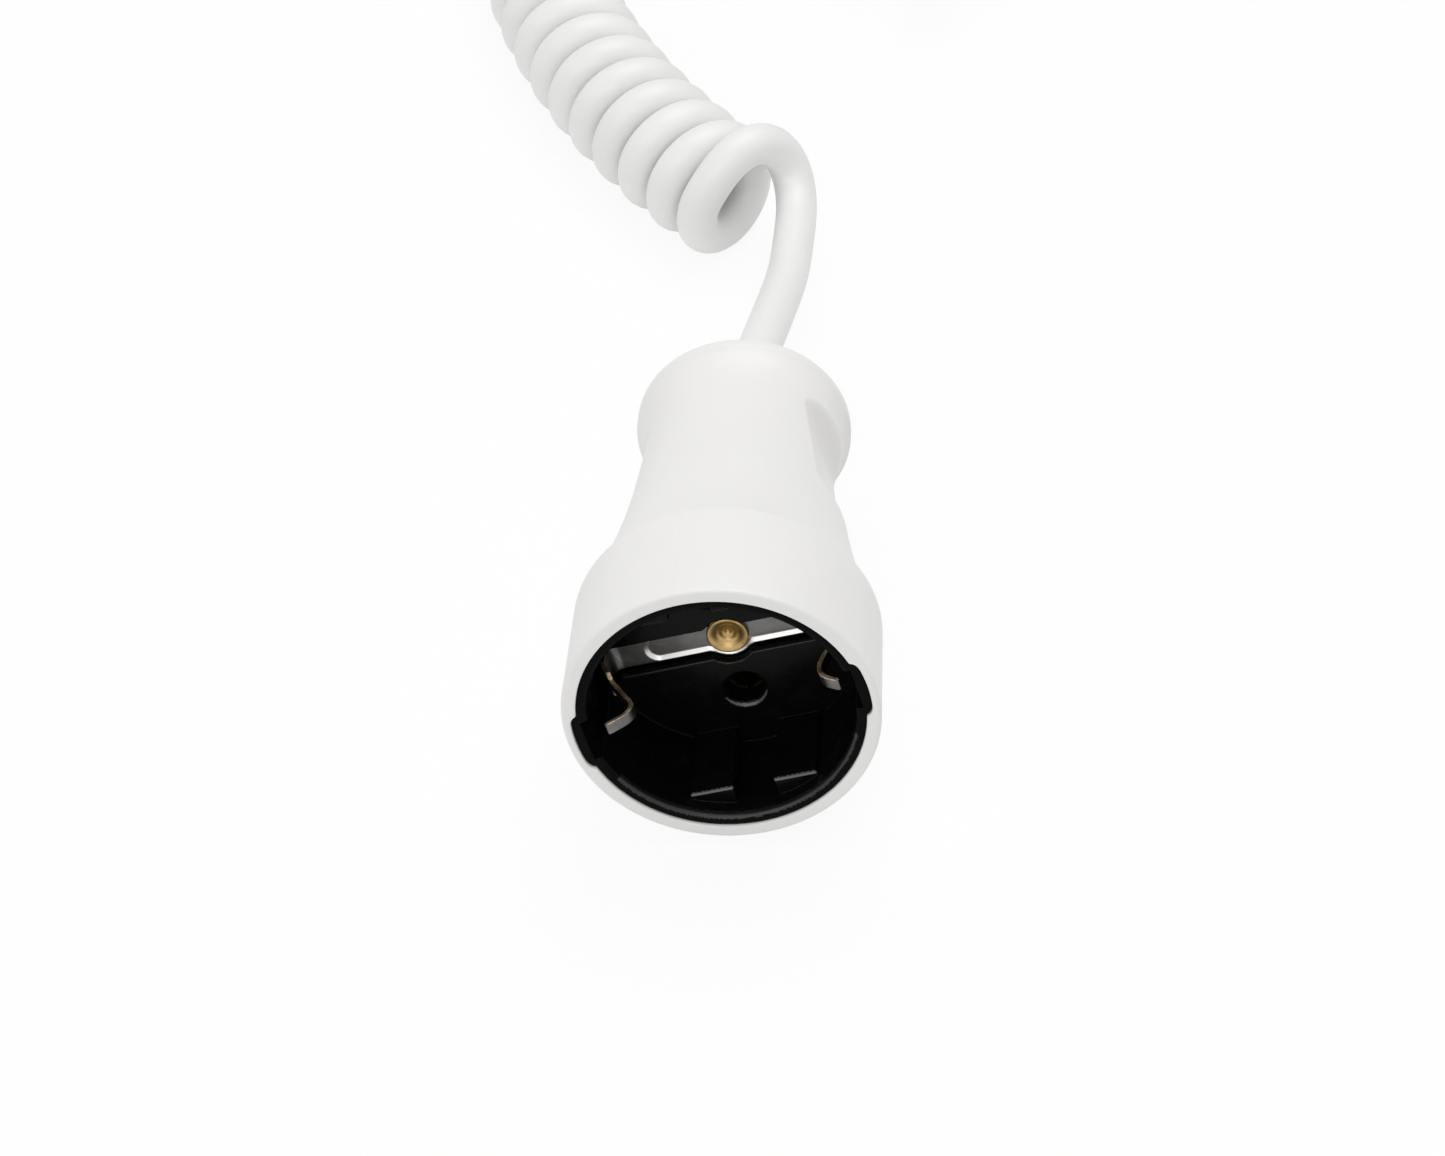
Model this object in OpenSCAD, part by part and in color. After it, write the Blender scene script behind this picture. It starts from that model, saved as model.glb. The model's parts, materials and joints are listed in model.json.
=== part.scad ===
// Earthed extension cord: a coupling socket and a plug moulded onto a curly mains cord.
// The coupling lies on its collar's rear edge and its rear flange, mouth towards -Y.

/* [Coupling housing] */
// Wall of the collar at the mouth, outside the insert's ears
collar_wall = 1.3; // [1:0.1:3]
// How much smaller the collar's radius is at its rear edge than at the mouth
collar_draft = 0.2; // [0:0.1:0.4]
// Length of the collar
collar_length = 20.3; // [19:0.1:26]
// Step from the collar down to the body
shoulder_step = 1; // [0.3:0.1:1.2]
// Radius of the slim neck in front of the rear flange
neck_r = 15.6; // [15:0.1:18]
// Radius of the rear flange
flange_r = 17.25; // [16.5:0.05:20]
// Length from the mouth to the rear face of the flange
housing_length = 73; // [68:0.5:84]
// Thickness of the flange behind its flare
flange_thickness = 2.2; // [1.5:0.1:4]
// Rounding of the mouth's and the flange's outer edges
edge_round = 0.6; // [0.3:0.1:1]
// Distance of the finger grip's floor from the axis, at its rear end
grip_waist = 12.9; // [11:0.1:14.5]
// Rise of the finger grip's floor from its rear end to its front end
grip_rise = 2.3; // [0:0.1:3]
// Length of the finger grip's floor
grip_length = 18; // [10:0.5:20]
// Distance from the finger grip's rear end to the flange
grip_to_flange = 7.5; // [5:0.5:9]

/* [Bend relief] */
// Length of the spout behind a flange
relief_length = 14; // [8:0.5:24]
// Radius of the spout where it leaves the flange
relief_root_r = 6.2; // [5.5:0.1:9]
// Wall of the spout at its tip
relief_tip_wall = 0.8; // [0.6:0.1:2]

/* [Socket insert] */
// Radius of the recess that takes a plug
recess_r = 19.6; // [19.4:0.05:20]
// Depth of the recess
recess_depth = 17.5; // [17:0.1:19]
// Wall round the recess
insert_wall = 1.6; // [1.2:0.1:2]
// Rounding of the recess's inner lip
lip_round = 0.8; // [0.3:0.1:1]
// Width of the ears that key the insert into the collar
ear_width = 9.8; // [7:0.1:12]
// Rise of the ears over the insert
ear_rise = 0.9; // [0.4:0.1:1]
// Length of the ears
ear_length = 16; // [10:0.5:17]
// Width of the two wells that hold the spring clips
well_width = 7.2; // [6:0.1:7.6]
// Distance of the guide blocks' flats from the axis
guide_flat = 16.3; // [16.1:0.1:17]
// Width across each pair of guide blocks
guide_width = 19.6; // [16:0.1:20]
// Width of the groove between a pair of guide blocks
guide_groove = 6.3; // [5.8:0.1:8]
// Depth of the guide blocks' front ends below the mouth
guide_front = 3.5; // [2:0.1:6]
// Radius of the tower that holds the contacts
tower_r = 14.4; // [14:0.1:15]
// Depth of the tower's rear end
tower_depth = 38.5; // [37.5:0.1:41]
// Thickness of the cover behind the tower
cover_thickness = 1.8; // [1.2:0.1:3]

/* [Pins and contacts] */
// Distance between the two pins
pin_spacing = 19; // [19:0.1:19.5]
// Diameter of a pin
pin_d = 4.8; // [4.7:0.05:4.9]
// Length of a pin in front of the plug's face
pin_length = 19; // [18.5:0.1:19.5]
// How much thicker a pin's root is, where the bridge is moulded round it
pin_root_step = 0.25; // [0.2:0.05:0.4]
// Rounding of a pin's tip
pin_tip_round = 1.8; // [0.8:0.1:2.2]
// Diameter of the holes in the recess's floor
pin_hole_d = 5.6; // [5.3:0.1:6]
// Wall of a contact sleeve
contact_wall = 0.65; // [0.4:0.05:0.8]
// Slit along a contact sleeve
contact_slit = 0.8; // [0.5:0.1:1.2]
// Diameter of an insulated core
core_d = 2.7; // [2.4:0.1:3]
// Wall of a crimp barrel
crimp_wall = 0.3; // [0.2:0.05:0.5]
// Length of a crimp barrel
crimp_length = 5; // [4:0.5:7]

/* [Earth bracket] */
// Width of the earth strip
strip_width = 4.8; // [4:0.1:5.4]
// Thickness of the earth strip
strip_thickness = 0.7; // [0.5:0.05:0.9]
// Depth of the trough below the recess's floor
trough_depth = 3; // [2.4:0.1:3.1]
// Width of the spring clips, which are narrower than the strip
clip_width = 2.2; // [1.8:0.1:4.8]
// Half of the free gap between the two spring clips
clip_reach = 14.2; // [13.5:0.1:15.5]
// Depth of the clips' crowns below the mouth
clip_crown_depth = 4.6; // [3.5:0.1:7]
// Depth of the panel pressed into the strip
panel_depth = 0.4; // [0.2:0.1:0.6]
// Radius of the rivet's head
rivet_head_r = 3.2; // [2.6:0.05:3.3]
// Width of the strip's boss round the rivet's head
rivet_boss = 0.7; // [0.4:0.05:0.75]
// Radius of the rivet's shank
rivet_r = 1.5; // [1.2:0.1:2]
// Length of the pressed panel
panel_length = 22; // [16:0.5:26]
// Depth at which the clips bend inwards out of their wells
clip_root_depth = 13.5; // [11:0.5:15]

/* [Plug] */
// Radius of the plug's head
plug_head_r = 18.5; // [18:0.1:19]
// Length of the head that enters a socket
plug_head_length = 17.2; // [16.5:0.1:19]
// Distance of the head's flats from the axis
plug_flat = 15.9; // [15.4:0.1:16]
// Width of the key between a pair of notches in the head
plug_key_width = 5.5; // [4.5:0.1:5.7]
// Radius of the plug's neck
plug_neck_r = 13.2; // [12.5:0.1:15]
// Radius of the plug's rear flange
plug_flange_r = 15; // [14:0.1:17]
// Length from the plug's face to the rear face of its flange
plug_length = 51; // [49:0.5:60]
// Distance of the plug's grip floor from the axis, at its rear end
plug_grip_waist = 10.4; // [9:0.1:12]
// Length of the plug's grip floor
plug_grip_length = 10; // [6:0.5:11]
// Rise of the plug's grip floor from its rear end to its front end
plug_grip_rise = 1.5; // [0:0.1:2.5]
// Distance from the plug's grip floor to its flange
plug_grip_to_flange = 6; // [4:0.5:8]
// Radius of the hard bridge that holds the pins
bridge_r = 14.6; // [14.2:0.1:15]
// Length of the bridge
bridge_length = 15; // [13:0.1:16]
// Distance between the outer faces of the plug's earth strips
plug_earth_span = 33; // [32.4:0.1:33.6]
// Inner radius of the earth sleeve
earth_sleeve_r = 2.45; // [2.42:0.01:2.6]
// Distance of the earth sleeve from the axis
earth_sleeve_offset = 10; // [9.5:0.1:10.5]

/* [Cord] */
// Diameter of the cord
cord_d = 7.2; // [6.6:0.1:7.4]
// Mean radius of the curls
curl_r = 8.2; // [7.8:0.1:9]

/* [How it lies] */
// Turn of the coupling about its own axis
clip_roll = 16.5; // [0:0.5:45]
// Turn of the plug about its own axis
plug_roll = 188; // [0:0.5:359.5]

/* [Hidden] */
$fn = 64;

fit_gap = 0.05;          // between parts that are moulded or pressed together
countersink = 0.6;
over = 1;                // how far a cutter runs past a face
curve_steps = 10;

white_pvc = [0.93, 0.93, 0.91];
black_pbt = [0.06, 0.06, 0.06];
nickel = [0.78, 0.78, 0.76];
brass = [0.80, 0.62, 0.28];
line_brown = [0.40, 0.22, 0.12];
neutral_blue = [0.15, 0.35, 0.75];
earth_green = [0.45, 0.70, 0.15];

// --- depths along the coupling's axis, from the mouth ---
insert_front = 0.3;
insert_r = recess_r + insert_wall;
collar_mouth_r = insert_r + ear_rise + collar_wall;
collar_rear_r = collar_mouth_r - collar_draft;
ear_back = insert_front + ear_length;
trough_floor = recess_depth + trough_depth;
panel_front = trough_floor - strip_thickness;
strip_front = panel_front - panel_depth;
insert_flange_back = trough_floor + 0.7;
well_wall = recess_r + 0.9;
well_front = recess_r - 2;
trough_gap = 0.4;         // free space on each side of the strip in its trough
tag_front = insert_flange_back + 1.8;
tag_thickness = 0.6;
earth_well_r = 4.7;       // hollow behind the floor for the earth tag
contact_front = insert_flange_back;
contact_r = pin_d / 2 + contact_wall;
contact_back = tower_depth;
contact_floor = 0.6;      // wall between a contact's bore and its crimp barrel
slit_stop = 4;            // how far a slit ends in front of its sleeve's rear
cover_back = tower_depth + cover_thickness;
crimp_r = core_d / 2 + fit_gap + crimp_wall;
earth_barrel_place = earth_well_r - crimp_r - 0.2;
barrel_front = tag_front + tag_thickness + 1.2;
crimp_back = contact_back + crimp_length;
sheath_end = 58;         // where the cord's sheath starts, behind the fanned cores
sheath_lead = 2.5;       // the cores run straight for this far in front of the sheath
core_circle_r = 1.75;    // where the cores lie in the sheath
relief_end = housing_length + relief_length;
relief_tip_r = cord_d / 2 + fit_gap + relief_tip_wall;
pin_place = pin_spacing / 2;

// --- depths along the plug's axis, from its face ---
plug_crimp_front = bridge_length + 1;
plug_crimp_back = plug_crimp_front + crimp_length;
plug_sheath_end = 34;
plug_relief_end = plug_length + relief_length;
plug_cavity_back = bridge_length + fit_gap;
plug_flat_back = plug_head_length - 0.5;
sleeve_front = 0.8;       // depth of the earth sleeve's mouth in the bridge
pin_collar_front = 5;
pin_collar_back = 7;
pin_root_r = pin_d / 2 + pin_root_step;
pin_collar_r = pin_root_r + 0.5;
sleeve_mouth_r = earth_sleeve_r + contact_wall - 0.2;

// --- how the two ends lie: an edge that can touch the floor is [radius, depth, rounding] of its arc
function lie_tilt(front, rear) =
  let (run = [rear[1] - front[1], front[0] - rear[0]])
  atan(run[1] / run[0]) - asin((rear[2] - front[2]) / norm(run));
function lie_height(edge, tilt) = edge[1] * sin(tilt) + edge[0] * cos(tilt) + edge[2];
mouth_edge = [collar_mouth_r - edge_round, edge_round, edge_round];
collar_edge = [collar_rear_r - edge_round, collar_length - edge_round, edge_round];
flange_edge = [flange_r - edge_round, housing_length - edge_round, edge_round];
plug_head_edge = [plug_head_r, plug_head_length, 0];
plug_flange_edge = [plug_flange_r - edge_round, plug_length - edge_round, edge_round];
coupling_tilt = max(lie_tilt(mouth_edge, flange_edge), lie_tilt(collar_edge, flange_edge));
coupling_height = lie_height(flange_edge, coupling_tilt);
coupling_front = edge_round * cos(coupling_tilt) - (collar_mouth_r - edge_round) * sin(coupling_tilt)
  - edge_round;
coupling_back = relief_end * cos(coupling_tilt) + relief_tip_r * sin(coupling_tilt);
coupling_y = -(coupling_front + coupling_back) / 2;
plug_tilt = lie_tilt(plug_head_edge, plug_flange_edge);
plug_height = lie_height(plug_flange_edge, plug_tilt);
plug_x = 29;
plug_y = 183;

module lie(x, y, height, tilt, roll)
  translate([x, y, height]) rotate([-tilt, 0, 0]) rotate([0, -roll, 0]) rotate([-90, 0, 0]) children();
module coupling_pose() lie(0, coupling_y, coupling_height, coupling_tilt, clip_roll) children();
module plug_pose() lie(plug_x, plug_y, plug_height, plug_tilt, plug_roll) children();
function on_coupling_axis(depth) =
  [0, coupling_y + depth * cos(coupling_tilt), coupling_height - depth * sin(coupling_tilt)];
function on_plug_axis(depth) =
  [plug_x, plug_y + depth * cos(plug_tilt), plug_height - depth * sin(plug_tilt)];

// --- the cord's route: points by hand where it isn't curled ---
socket_tail_route = [
  [0.3, 50, 14.8], [1.3, 57.5, 13.6], [2.7, 65, 12.5], [4, 72, 11.7], [4.8, 77, 11.3], [5.3, 82, 11.2]
];
coil_in = socket_tail_route[len(socket_tail_route) - 1];
coil_in_dir = [0.05, 1, 0.02];
coil_in_handles = [19.7, 19.8];
// the curls' own axis: where it starts, its heading left of +Y, then runs of [curls, pitch, right turn]
coil_start = [-4.9, 96.6];
coil_heading = 46;
coil_phase = 143;
coil_runs = [[10, 7.9, 31], [4, 8.1, 16], [11, 8.1, 0], [11, 10, 180], [1, 8.1, 0]];
coil_out = [plug_x, plug_y + 74, 13.4];
coil_out_dir = [0, -1, 0.02];
coil_out_handles = [16, 20];
plug_tail_route = [[plug_x, plug_y + 68, 13.8], coil_out];

rings_per_curl = 8;
curl_sides = 6;
tail_sides = 10;
core_sides = 8;
lead_steps = 9;
cord_r = cord_d / 2;
coil_height = curl_r + cord_r + 0.1;

// --- small maths ---
function unit(v) = v / norm(v);
function mix(a, b, t) = a * (1 - t) + b * t;
function bezier2(a, b, c, t) = mix(mix(a, b, t), mix(b, c, t), t);
function bezier3(a, b, c, d, t) = mix(bezier2(a, b, c, t), bezier2(b, c, d, t), t);
function curve2(a, b, c, n = curve_steps) = [for (i = [0:n]) bezier2(a, b, c, i / n)];
function arc(centre, r, from, to, n = 6) =
  [for (i = [0:n]) centre + r * [cos(mix(from, to, i / n)), sin(mix(from, to, i / n))]];
function reversed(list) = [for (i = [len(list) - 1:-1:0]) list[i]];
function running_sum(list, i = 0, sum = 0) =
  i == len(list) ? [sum] : concat([sum], running_sum(list, i + 1, sum + list[i]));

// a smooth curve through points, the ends repeated as their own neighbours
function through(p, n = 4) = concat(
  [for (i = [0:len(p) - 2]) for (k = [0:n - 1])
    let (a = p[max(i - 1, 0)], b = p[i], c = p[i + 1], d = p[min(i + 2, len(p) - 1)], t = k / n)
    0.5 * (2 * b + (c - a) * t + (2 * a - 5 * b + 4 * c - d) * t * t + (3 * b - a - 3 * c + d) * t * t * t)],
  [p[len(p) - 1]]);

// outline of a sheet-metal strip seen edge on, from its middle line
function strip_normal(p, i) =
  let (d = unit(p[min(i + 1, len(p) - 1)] - p[max(i - 1, 0)])) [-d[1], d[0]];
function strip_outline(p, thickness) = concat(
  [for (i = [0:len(p) - 1]) p[i] + strip_normal(p, i) * thickness / 2],
  [for (i = [len(p) - 1:-1:0]) p[i] - strip_normal(p, i) * thickness / 2]);

// a strip bent alike on both sides of the axis, from one side's middle line
module bent_strip(half)
  rotate([90, 0, 0]) linear_extrude(height = strip_width, center = true)
    polygon(strip_outline(concat(reversed([for (p = half) [-p[0], p[1]]]), half), strip_thickness));

// --- tubes ---
function route_dir(p, i, first_dir, last_dir) =
  i == 0 ? unit(first_dir) : i == len(p) - 1 ? unit(last_dir) : unit(p[i + 1] - p[i - 1]);
function ring(centre, dir, side, r, sides) =
  let (u = unit(side - (side * dir) * dir), v = cross(dir, u))
  [for (k = [0:sides - 1]) centre + r * (cos(360 * k / sides) * u + sin(360 * k / sides) * v)];
function tube_rings(p, side, r, sides, first_dir, last_dir) =
  [for (i = [0:len(p) - 1]) ring(p[i], route_dir(p, i, first_dir, last_dir), side[i], r, sides)];
module tube(rings) {
  sides = len(rings[0]);
  last = (len(rings) - 1) * sides;
  points = [for (r = rings) for (p = r) p];
  walls = [for (i = [0:len(rings) - 2]) for (k = [0:sides - 1])
    let (a = i * sides + k, b = i * sides + (k + 1) % sides)
    each [[a, b, b + sides], [a, b + sides, a + sides]]];
  ends = [for (k = [1:sides - 2]) each [[0, k + 1, k], [last, last + k, last + k + 1]]];
  polyhedron(points = points, faces = [for (f = concat(walls, ends)) reversed(f)], convexity = 10);
}

// --- the curls ---
coil_steps = [for (run = coil_runs) for (i = [1:round(run[0] * rings_per_curl)])
  [run[1] / rings_per_curl, run[2] / round(run[0] * rings_per_curl)]];
coil_headings = running_sum([for (s = coil_steps) -s[1]], 0, coil_heading);
function coil_walk(i, p) = i == len(coil_steps) ? [p] :
  let (heading = coil_headings[i] - coil_steps[i][1] / 2)
  concat([p], coil_walk(i + 1, p + coil_steps[i][0] * [-sin(heading), cos(heading)]));
coil_axis = coil_walk(0, coil_start);
function curl_side(i) =
  let (heading = coil_headings[i], phase = coil_phase + 360 * i / rings_per_curl)
  [cos(phase) * cos(heading), cos(phase) * sin(heading), sin(phase)];
curls = [for (i = [0:len(coil_axis) - 1])
  [coil_axis[i][0], coil_axis[i][1], coil_height] + curl_r * curl_side(i)];
curl_count = len(curls);
function curl_dir(i) =
  let (heading = coil_headings[i], phase = coil_phase + 360 * i / rings_per_curl,
    step = coil_steps[min(i, len(coil_steps) - 1)][0])
  unit(curl_r * 2 * PI / rings_per_curl * [-sin(phase) * cos(heading), -sin(phase) * sin(heading), cos(phase)]
    + step * [-sin(heading), cos(heading), 0]);
lead_in_start = coil_in + unit(coil_in_dir) * cord_d;
lead_in = [for (i = [0:lead_steps - 1]) bezier3(
  lead_in_start, lead_in_start + coil_in_handles[0] * unit(coil_in_dir),
  curls[0] - coil_in_handles[1] * curl_dir(0), curls[0], i / lead_steps)];
lead_out_end = coil_out - unit(coil_out_dir) * cord_d;
lead_out = [for (i = [1:lead_steps]) bezier3(
  curls[curl_count - 1], curls[curl_count - 1] + coil_out_handles[0] * curl_dir(curl_count - 1),
  lead_out_end - coil_out_handles[1] * unit(coil_out_dir), lead_out_end, i / lead_steps)];
coil_path = concat([coil_in], lead_in, curls, lead_out, [coil_out]);
in_side = [1, 0, 0];
out_side = [1, 0, 0.2];
coil_sides = concat(
  [for (i = [0:lead_steps]) mix(in_side, curl_side(0), i / (lead_steps + 1))],
  [for (i = [0:curl_count - 1]) curl_side(i)],
  [for (i = [1:lead_steps + 1]) mix(curl_side(curl_count - 1), out_side, i / (lead_steps + 1))]);
coil_rings = tube_rings(coil_path, coil_sides, cord_r, curl_sides, coil_in_dir, coil_out_dir);
function least_gap(rings) = min([for (i = [0:len(rings) - 6]) for (j = [i + 5:min(i + 13, len(rings) - 1)])
  for (a = rings[i]) for (b = rings[j]) norm(a - b)]);
function total(list) = list * [for (x = list) 1];
function path_length(p) = total([for (i = [1:len(p) - 1]) norm(p[i] - p[i - 1])]);

// --- housings ---
// outline of a housing's body from its shoulder to the rear face of its flange, as [radius, depth]
function body_outline(shoulder_r, shoulder, neck, flange, length) =
  let (flare = length - flange_thickness, waist = flare - 8)
  concat(
    curve2([shoulder_r, shoulder], [mix(neck, shoulder_r, 0.2), mix(shoulder, waist, 0.4)], [neck, waist]),
    curve2([neck, waist + 1], [neck, flare - 2], [flange, flare], 6),
    arc([flange - edge_round, length - edge_round], edge_round, 0, 90));
// a tapering spout cut into ribs, so that it bends with the cord
module bend_relief(root, length) {
  ribs = 4;
  pitch = length / ribs;
  groove = 0.7;
  rotate_extrude() polygon(concat(
    [[0, root - over], [relief_root_r, root - over]],
    [for (i = [0:ribs - 1])
      let (front = root + i * pitch, back = front + pitch,
        r = mix(relief_root_r, relief_tip_r, i / (ribs - 1)))
      each i == ribs - 1 ? [[r, front], [r, back]]
        : [[r, front], [r, back - groove - 0.4], [r - groove, back - groove], [r - groove, back]]],
    [[0, root + length]]));
}
// side view of a finger grip: a ramp, the floor and a fillet up the front of the flange
function grip_outline(waist, rise, length, rear, out) =
  let (front = rear - length, fillet = 3)
  concat(
    curve2([out, front - 6.5], [waist + rise + 0.6, front - 2.6], [waist + rise, front], 6),
    arc([waist + fillet, rear], fillet, 180, 90),
    [[out, rear + fillet + 0.8]]);
module grips(waist, rise, length, rear, out)
  for (side = [0, 180]) rotate([0, 0, side]) rotate([90, 0, 0])
    linear_extrude(height = 3 * out, center = true) polygon(grip_outline(waist, rise, length, rear, out));
module ear(r, width, from, to)
  for (side = [0, 180]) rotate([0, 0, side]) intersection() {
    translate([0, 0, from]) cylinder(r = r, h = to - from, $fn = 96);
    translate([0, -width / 2, from]) cube([r + over, width, to - from]);
  }
// an insulated core along its route
module core(route)
  tube(tube_rings(route, [for (p = route) [1, 0, 0]], core_d / 2, core_sides, [0, 0, 1], [0, 0, 1]));
// the hollow where the cores fan out, from the crimp barrels to the sheath
module fan_hollow(front, back, sheath) rotate_extrude($fn = 96) polygon([
  [0, front], [pin_place + crimp_r + 0.3, front], [pin_place + crimp_r + 0.3, back + 0.5],
  [cord_r + fit_gap, sheath], [0, sheath]]);

// a core's route: straight out of its crimp, aslant to its place in the sheath, straight to the sheath's end
function core_route(x, y, from, bend, angle, sheath) =
  let (place = core_circle_r * [cos(angle), sin(angle)])
  [[x, y, from], [x, y, bend], [place[0], place[1], sheath - sheath_lead], [place[0], place[1], sheath]];
core_front = contact_back + 0.8;
core_bend = crimp_back + 0.8;
line_route = core_route(0, pin_place, core_front, core_bend, 90, sheath_end);
neutral_route = core_route(0, -pin_place, core_front, core_bend, 210, sheath_end);
earth_route = core_route(earth_barrel_place, 0, barrel_front + 0.6, crimp_back, 330, sheath_end);
plug_core_front = plug_crimp_front + 0.6;
plug_core_bend = plug_crimp_back + 0.8;
plug_line_route = core_route(0, pin_place, plug_core_front, plug_core_bend, 90, plug_sheath_end);
plug_neutral_route = core_route(0, -pin_place, plug_core_front, plug_core_bend, 210, plug_sheath_end);
plug_earth_route = core_route(0, 0, plug_core_front, plug_core_bend, 330, plug_sheath_end);

module socket_housing() color(white_pvc) coupling_pose() difference() {
  union() {
    rotate_extrude($fn = 128) polygon(concat(
      [[0, 0]],
      arc([collar_mouth_r - edge_round, edge_round], edge_round, -90, 0),
      arc([collar_rear_r - edge_round, collar_length - edge_round], edge_round, 0, 90),
      body_outline(collar_rear_r - shoulder_step, collar_length, neck_r, flange_r, housing_length),
      [[0, housing_length]]));
    bend_relief(housing_length, relief_length);
  }
  grips(grip_waist, grip_rise, grip_length, housing_length - flange_thickness - grip_to_flange,
    collar_mouth_r + over);
  translate([0, 0, -over])
    cylinder(r = insert_r + fit_gap, h = insert_flange_back + fit_gap + over, $fn = 128);
  ear(insert_r + ear_rise + fit_gap, ear_width + 2 * fit_gap, -over, ear_back + fit_gap);
  cylinder(r = tower_r + fit_gap, h = cover_back + fit_gap, $fn = 96);
  fan_hollow(cover_back, crimp_back, sheath_end);
  translate([0, 0, sheath_end - 0.01]) cylinder(r = cord_r + fit_gap, h = relief_end, $fn = 48);
}

module guide_blocks() intersection() {
  length = recess_depth + over - guide_front;
  translate([0, 0, guide_front]) cylinder(r = recess_r + insert_wall / 2, h = length, $fn = 96);
  for (side = [0, 180]) rotate([0, 0, side]) for (half = [0, 1]) mirror([half, 0, 0])
    translate([guide_groove / 2, guide_flat, guide_front])
      cube([(guide_width - guide_groove) / 2, recess_r, length]);
}
module recess() rotate_extrude($fn = 128) polygon(concat(
  [[0, insert_front - over], [recess_r + lip_round, insert_front - over]],
  arc([recess_r + lip_round, insert_front + lip_round], lip_round, 270, 180),
  [[recess_r, recess_depth], [0, recess_depth]]));

module socket_insert() color(black_pbt) coupling_pose() difference() {
  union() {
    difference() {
      union() {
        translate([0, 0, insert_front])
          cylinder(r = insert_r, h = insert_flange_back - insert_front, $fn = 128);
        ear(insert_r + ear_rise, ear_width, insert_front, ear_back);
        cylinder(r = tower_r, h = tower_depth, $fn = 96);
      }
      recess();
    }
    guide_blocks();
  }
  for (side = [0, 180]) rotate([0, 0, side])
    translate([well_front, -well_width / 2, -over])
      cube([well_wall - well_front, well_width, trough_floor + over]);
  translate([-recess_r, -strip_width / 2 - trough_gap, recess_depth - over])
    cube([2 * recess_r, strip_width + 2 * trough_gap, trough_depth + over]);
  translate([0, 0, recess_depth - over]) cylinder(r = rivet_head_r + 1, h = trough_depth + over, $fn = 48);
  cylinder(r = rivet_r + fit_gap, h = tower_depth, $fn = 32);
  translate([0, 0, tag_front]) cylinder(r = earth_well_r, h = tower_depth, $fn = 48);
  for (side = [-1, 1]) translate([0, side * pin_place, 0]) {
    translate([0, 0, recess_depth - over]) cylinder(d = pin_hole_d, h = tower_depth, $fn = 48);
    translate([0, 0, recess_depth - 0.01])
      cylinder(d1 = pin_hole_d + 2 * countersink, d2 = pin_hole_d, h = countersink, $fn = 48);
    translate([0, 0, contact_front]) cylinder(r = contact_r + fit_gap, h = tower_depth, $fn = 48);
  }
}

module insert_cover() color(black_pbt) coupling_pose() difference() {
  translate([0, 0, tower_depth]) cylinder(r = tower_r, h = cover_thickness, $fn = 96);
  for (side = [-1, 1]) translate([0, side * pin_place, tower_depth - over])
    cylinder(r = crimp_r + fit_gap, h = cover_thickness + 2 * over, $fn = 32);
  translate([earth_barrel_place, 0, tower_depth - over])
    cylinder(d = core_d + 2 * fit_gap, h = cover_thickness + 2 * over, $fn = 32);
}

// one side of the bracket as [distance from the axis, depth]: along the trough, up the well, down the clip
bracket_middle = strip_front + strip_thickness / 2;
leg_place = recess_r - 0.3;
clip_middle = clip_reach + strip_thickness / 2;
clip_lip = 3;            // how far the clips' lips reach in front of their crowns
function bracket_half() = concat(
  [[leg_place - 1.6, bracket_middle]],
  arc([leg_place - 1.2, bracket_middle - 1.2], 1.2, 90, 0, 4),
  through([[leg_place, clip_root_depth], [leg_place - 0.7, clip_root_depth - 1.5],
    [mix(clip_middle, leg_place, 0.47), mix(clip_crown_depth, clip_root_depth, 0.5)],
    [mix(clip_middle, leg_place, 0.06), mix(clip_crown_depth, clip_root_depth, 0.19)],
    [clip_middle, clip_crown_depth], [clip_middle + 0.75, clip_crown_depth - 1.6],
    [clip_middle + 3.25, clip_crown_depth - clip_lip]]));
module earth_bracket() color(nickel) coupling_pose() difference() {
  union() {
    bent_strip(bracket_half());
    translate([0, 0, strip_front]) cylinder(r = rivet_head_r + rivet_boss, h = strip_thickness, $fn = 48);
    translate([0, 0, panel_front]) panel(panel_border - panel_wall, strip_thickness);
  }
  translate([0, 0, strip_front - over]) panel(panel_border, panel_depth + over);
  translate([0, 0, strip_front - over]) cylinder(r = rivet_r + fit_gap, h = 2 * trough_depth, $fn = 32);
  for (side = [0, 180]) rotate([0, 0, side])
    translate([-insert_r, clip_width / 2, -over]) cube([2 * insert_r, strip_width, clip_root_depth + over]);
}
// the panel pressed into the strip: a bar with round ends and a round boss under the rivet's head
panel_border = 0.5;      // from the strip's edge to the panel
panel_wall = 0.3;
module panel(border, height) {
  half_width = strip_width / 2 - border;
  end_place = panel_length / 2 - strip_width / 2;
  translate([-end_place, -half_width, 0]) cube([2 * end_place, 2 * half_width, height]);
  for (side = [-1, 1]) translate([side * end_place, 0, 0]) cylinder(r = half_width, h = height, $fn = 32);
  cylinder(r = rivet_head_r + rivet_boss - border, h = height, $fn = 48);
}

// a rivet with a dished head and a conical pit in its middle
rivet_face = [[0, 1.2], [0.5, 0.45], [0.85, 0.4], [1.25, 0.1], [1.65, 0], [2.4, -0.6], [3, -0.9]];
module earth_rivet() color(brass) coupling_pose() rotate_extrude($fn = 48) polygon(concat(
  [for (p = rivet_face) [p[0], panel_front + p[1]]],
  [[rivet_head_r - 0.05, panel_front - 0.9], [rivet_head_r, panel_front - 0.8], [rivet_head_r, panel_front],
    [rivet_r, panel_front], [rivet_r, tag_front + tag_thickness], [rivet_r + 0.7, tag_front + tag_thickness],
    [rivet_r + 0.4, tag_front + tag_thickness + 0.7], [0, tag_front + tag_thickness + 0.7]]));

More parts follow.
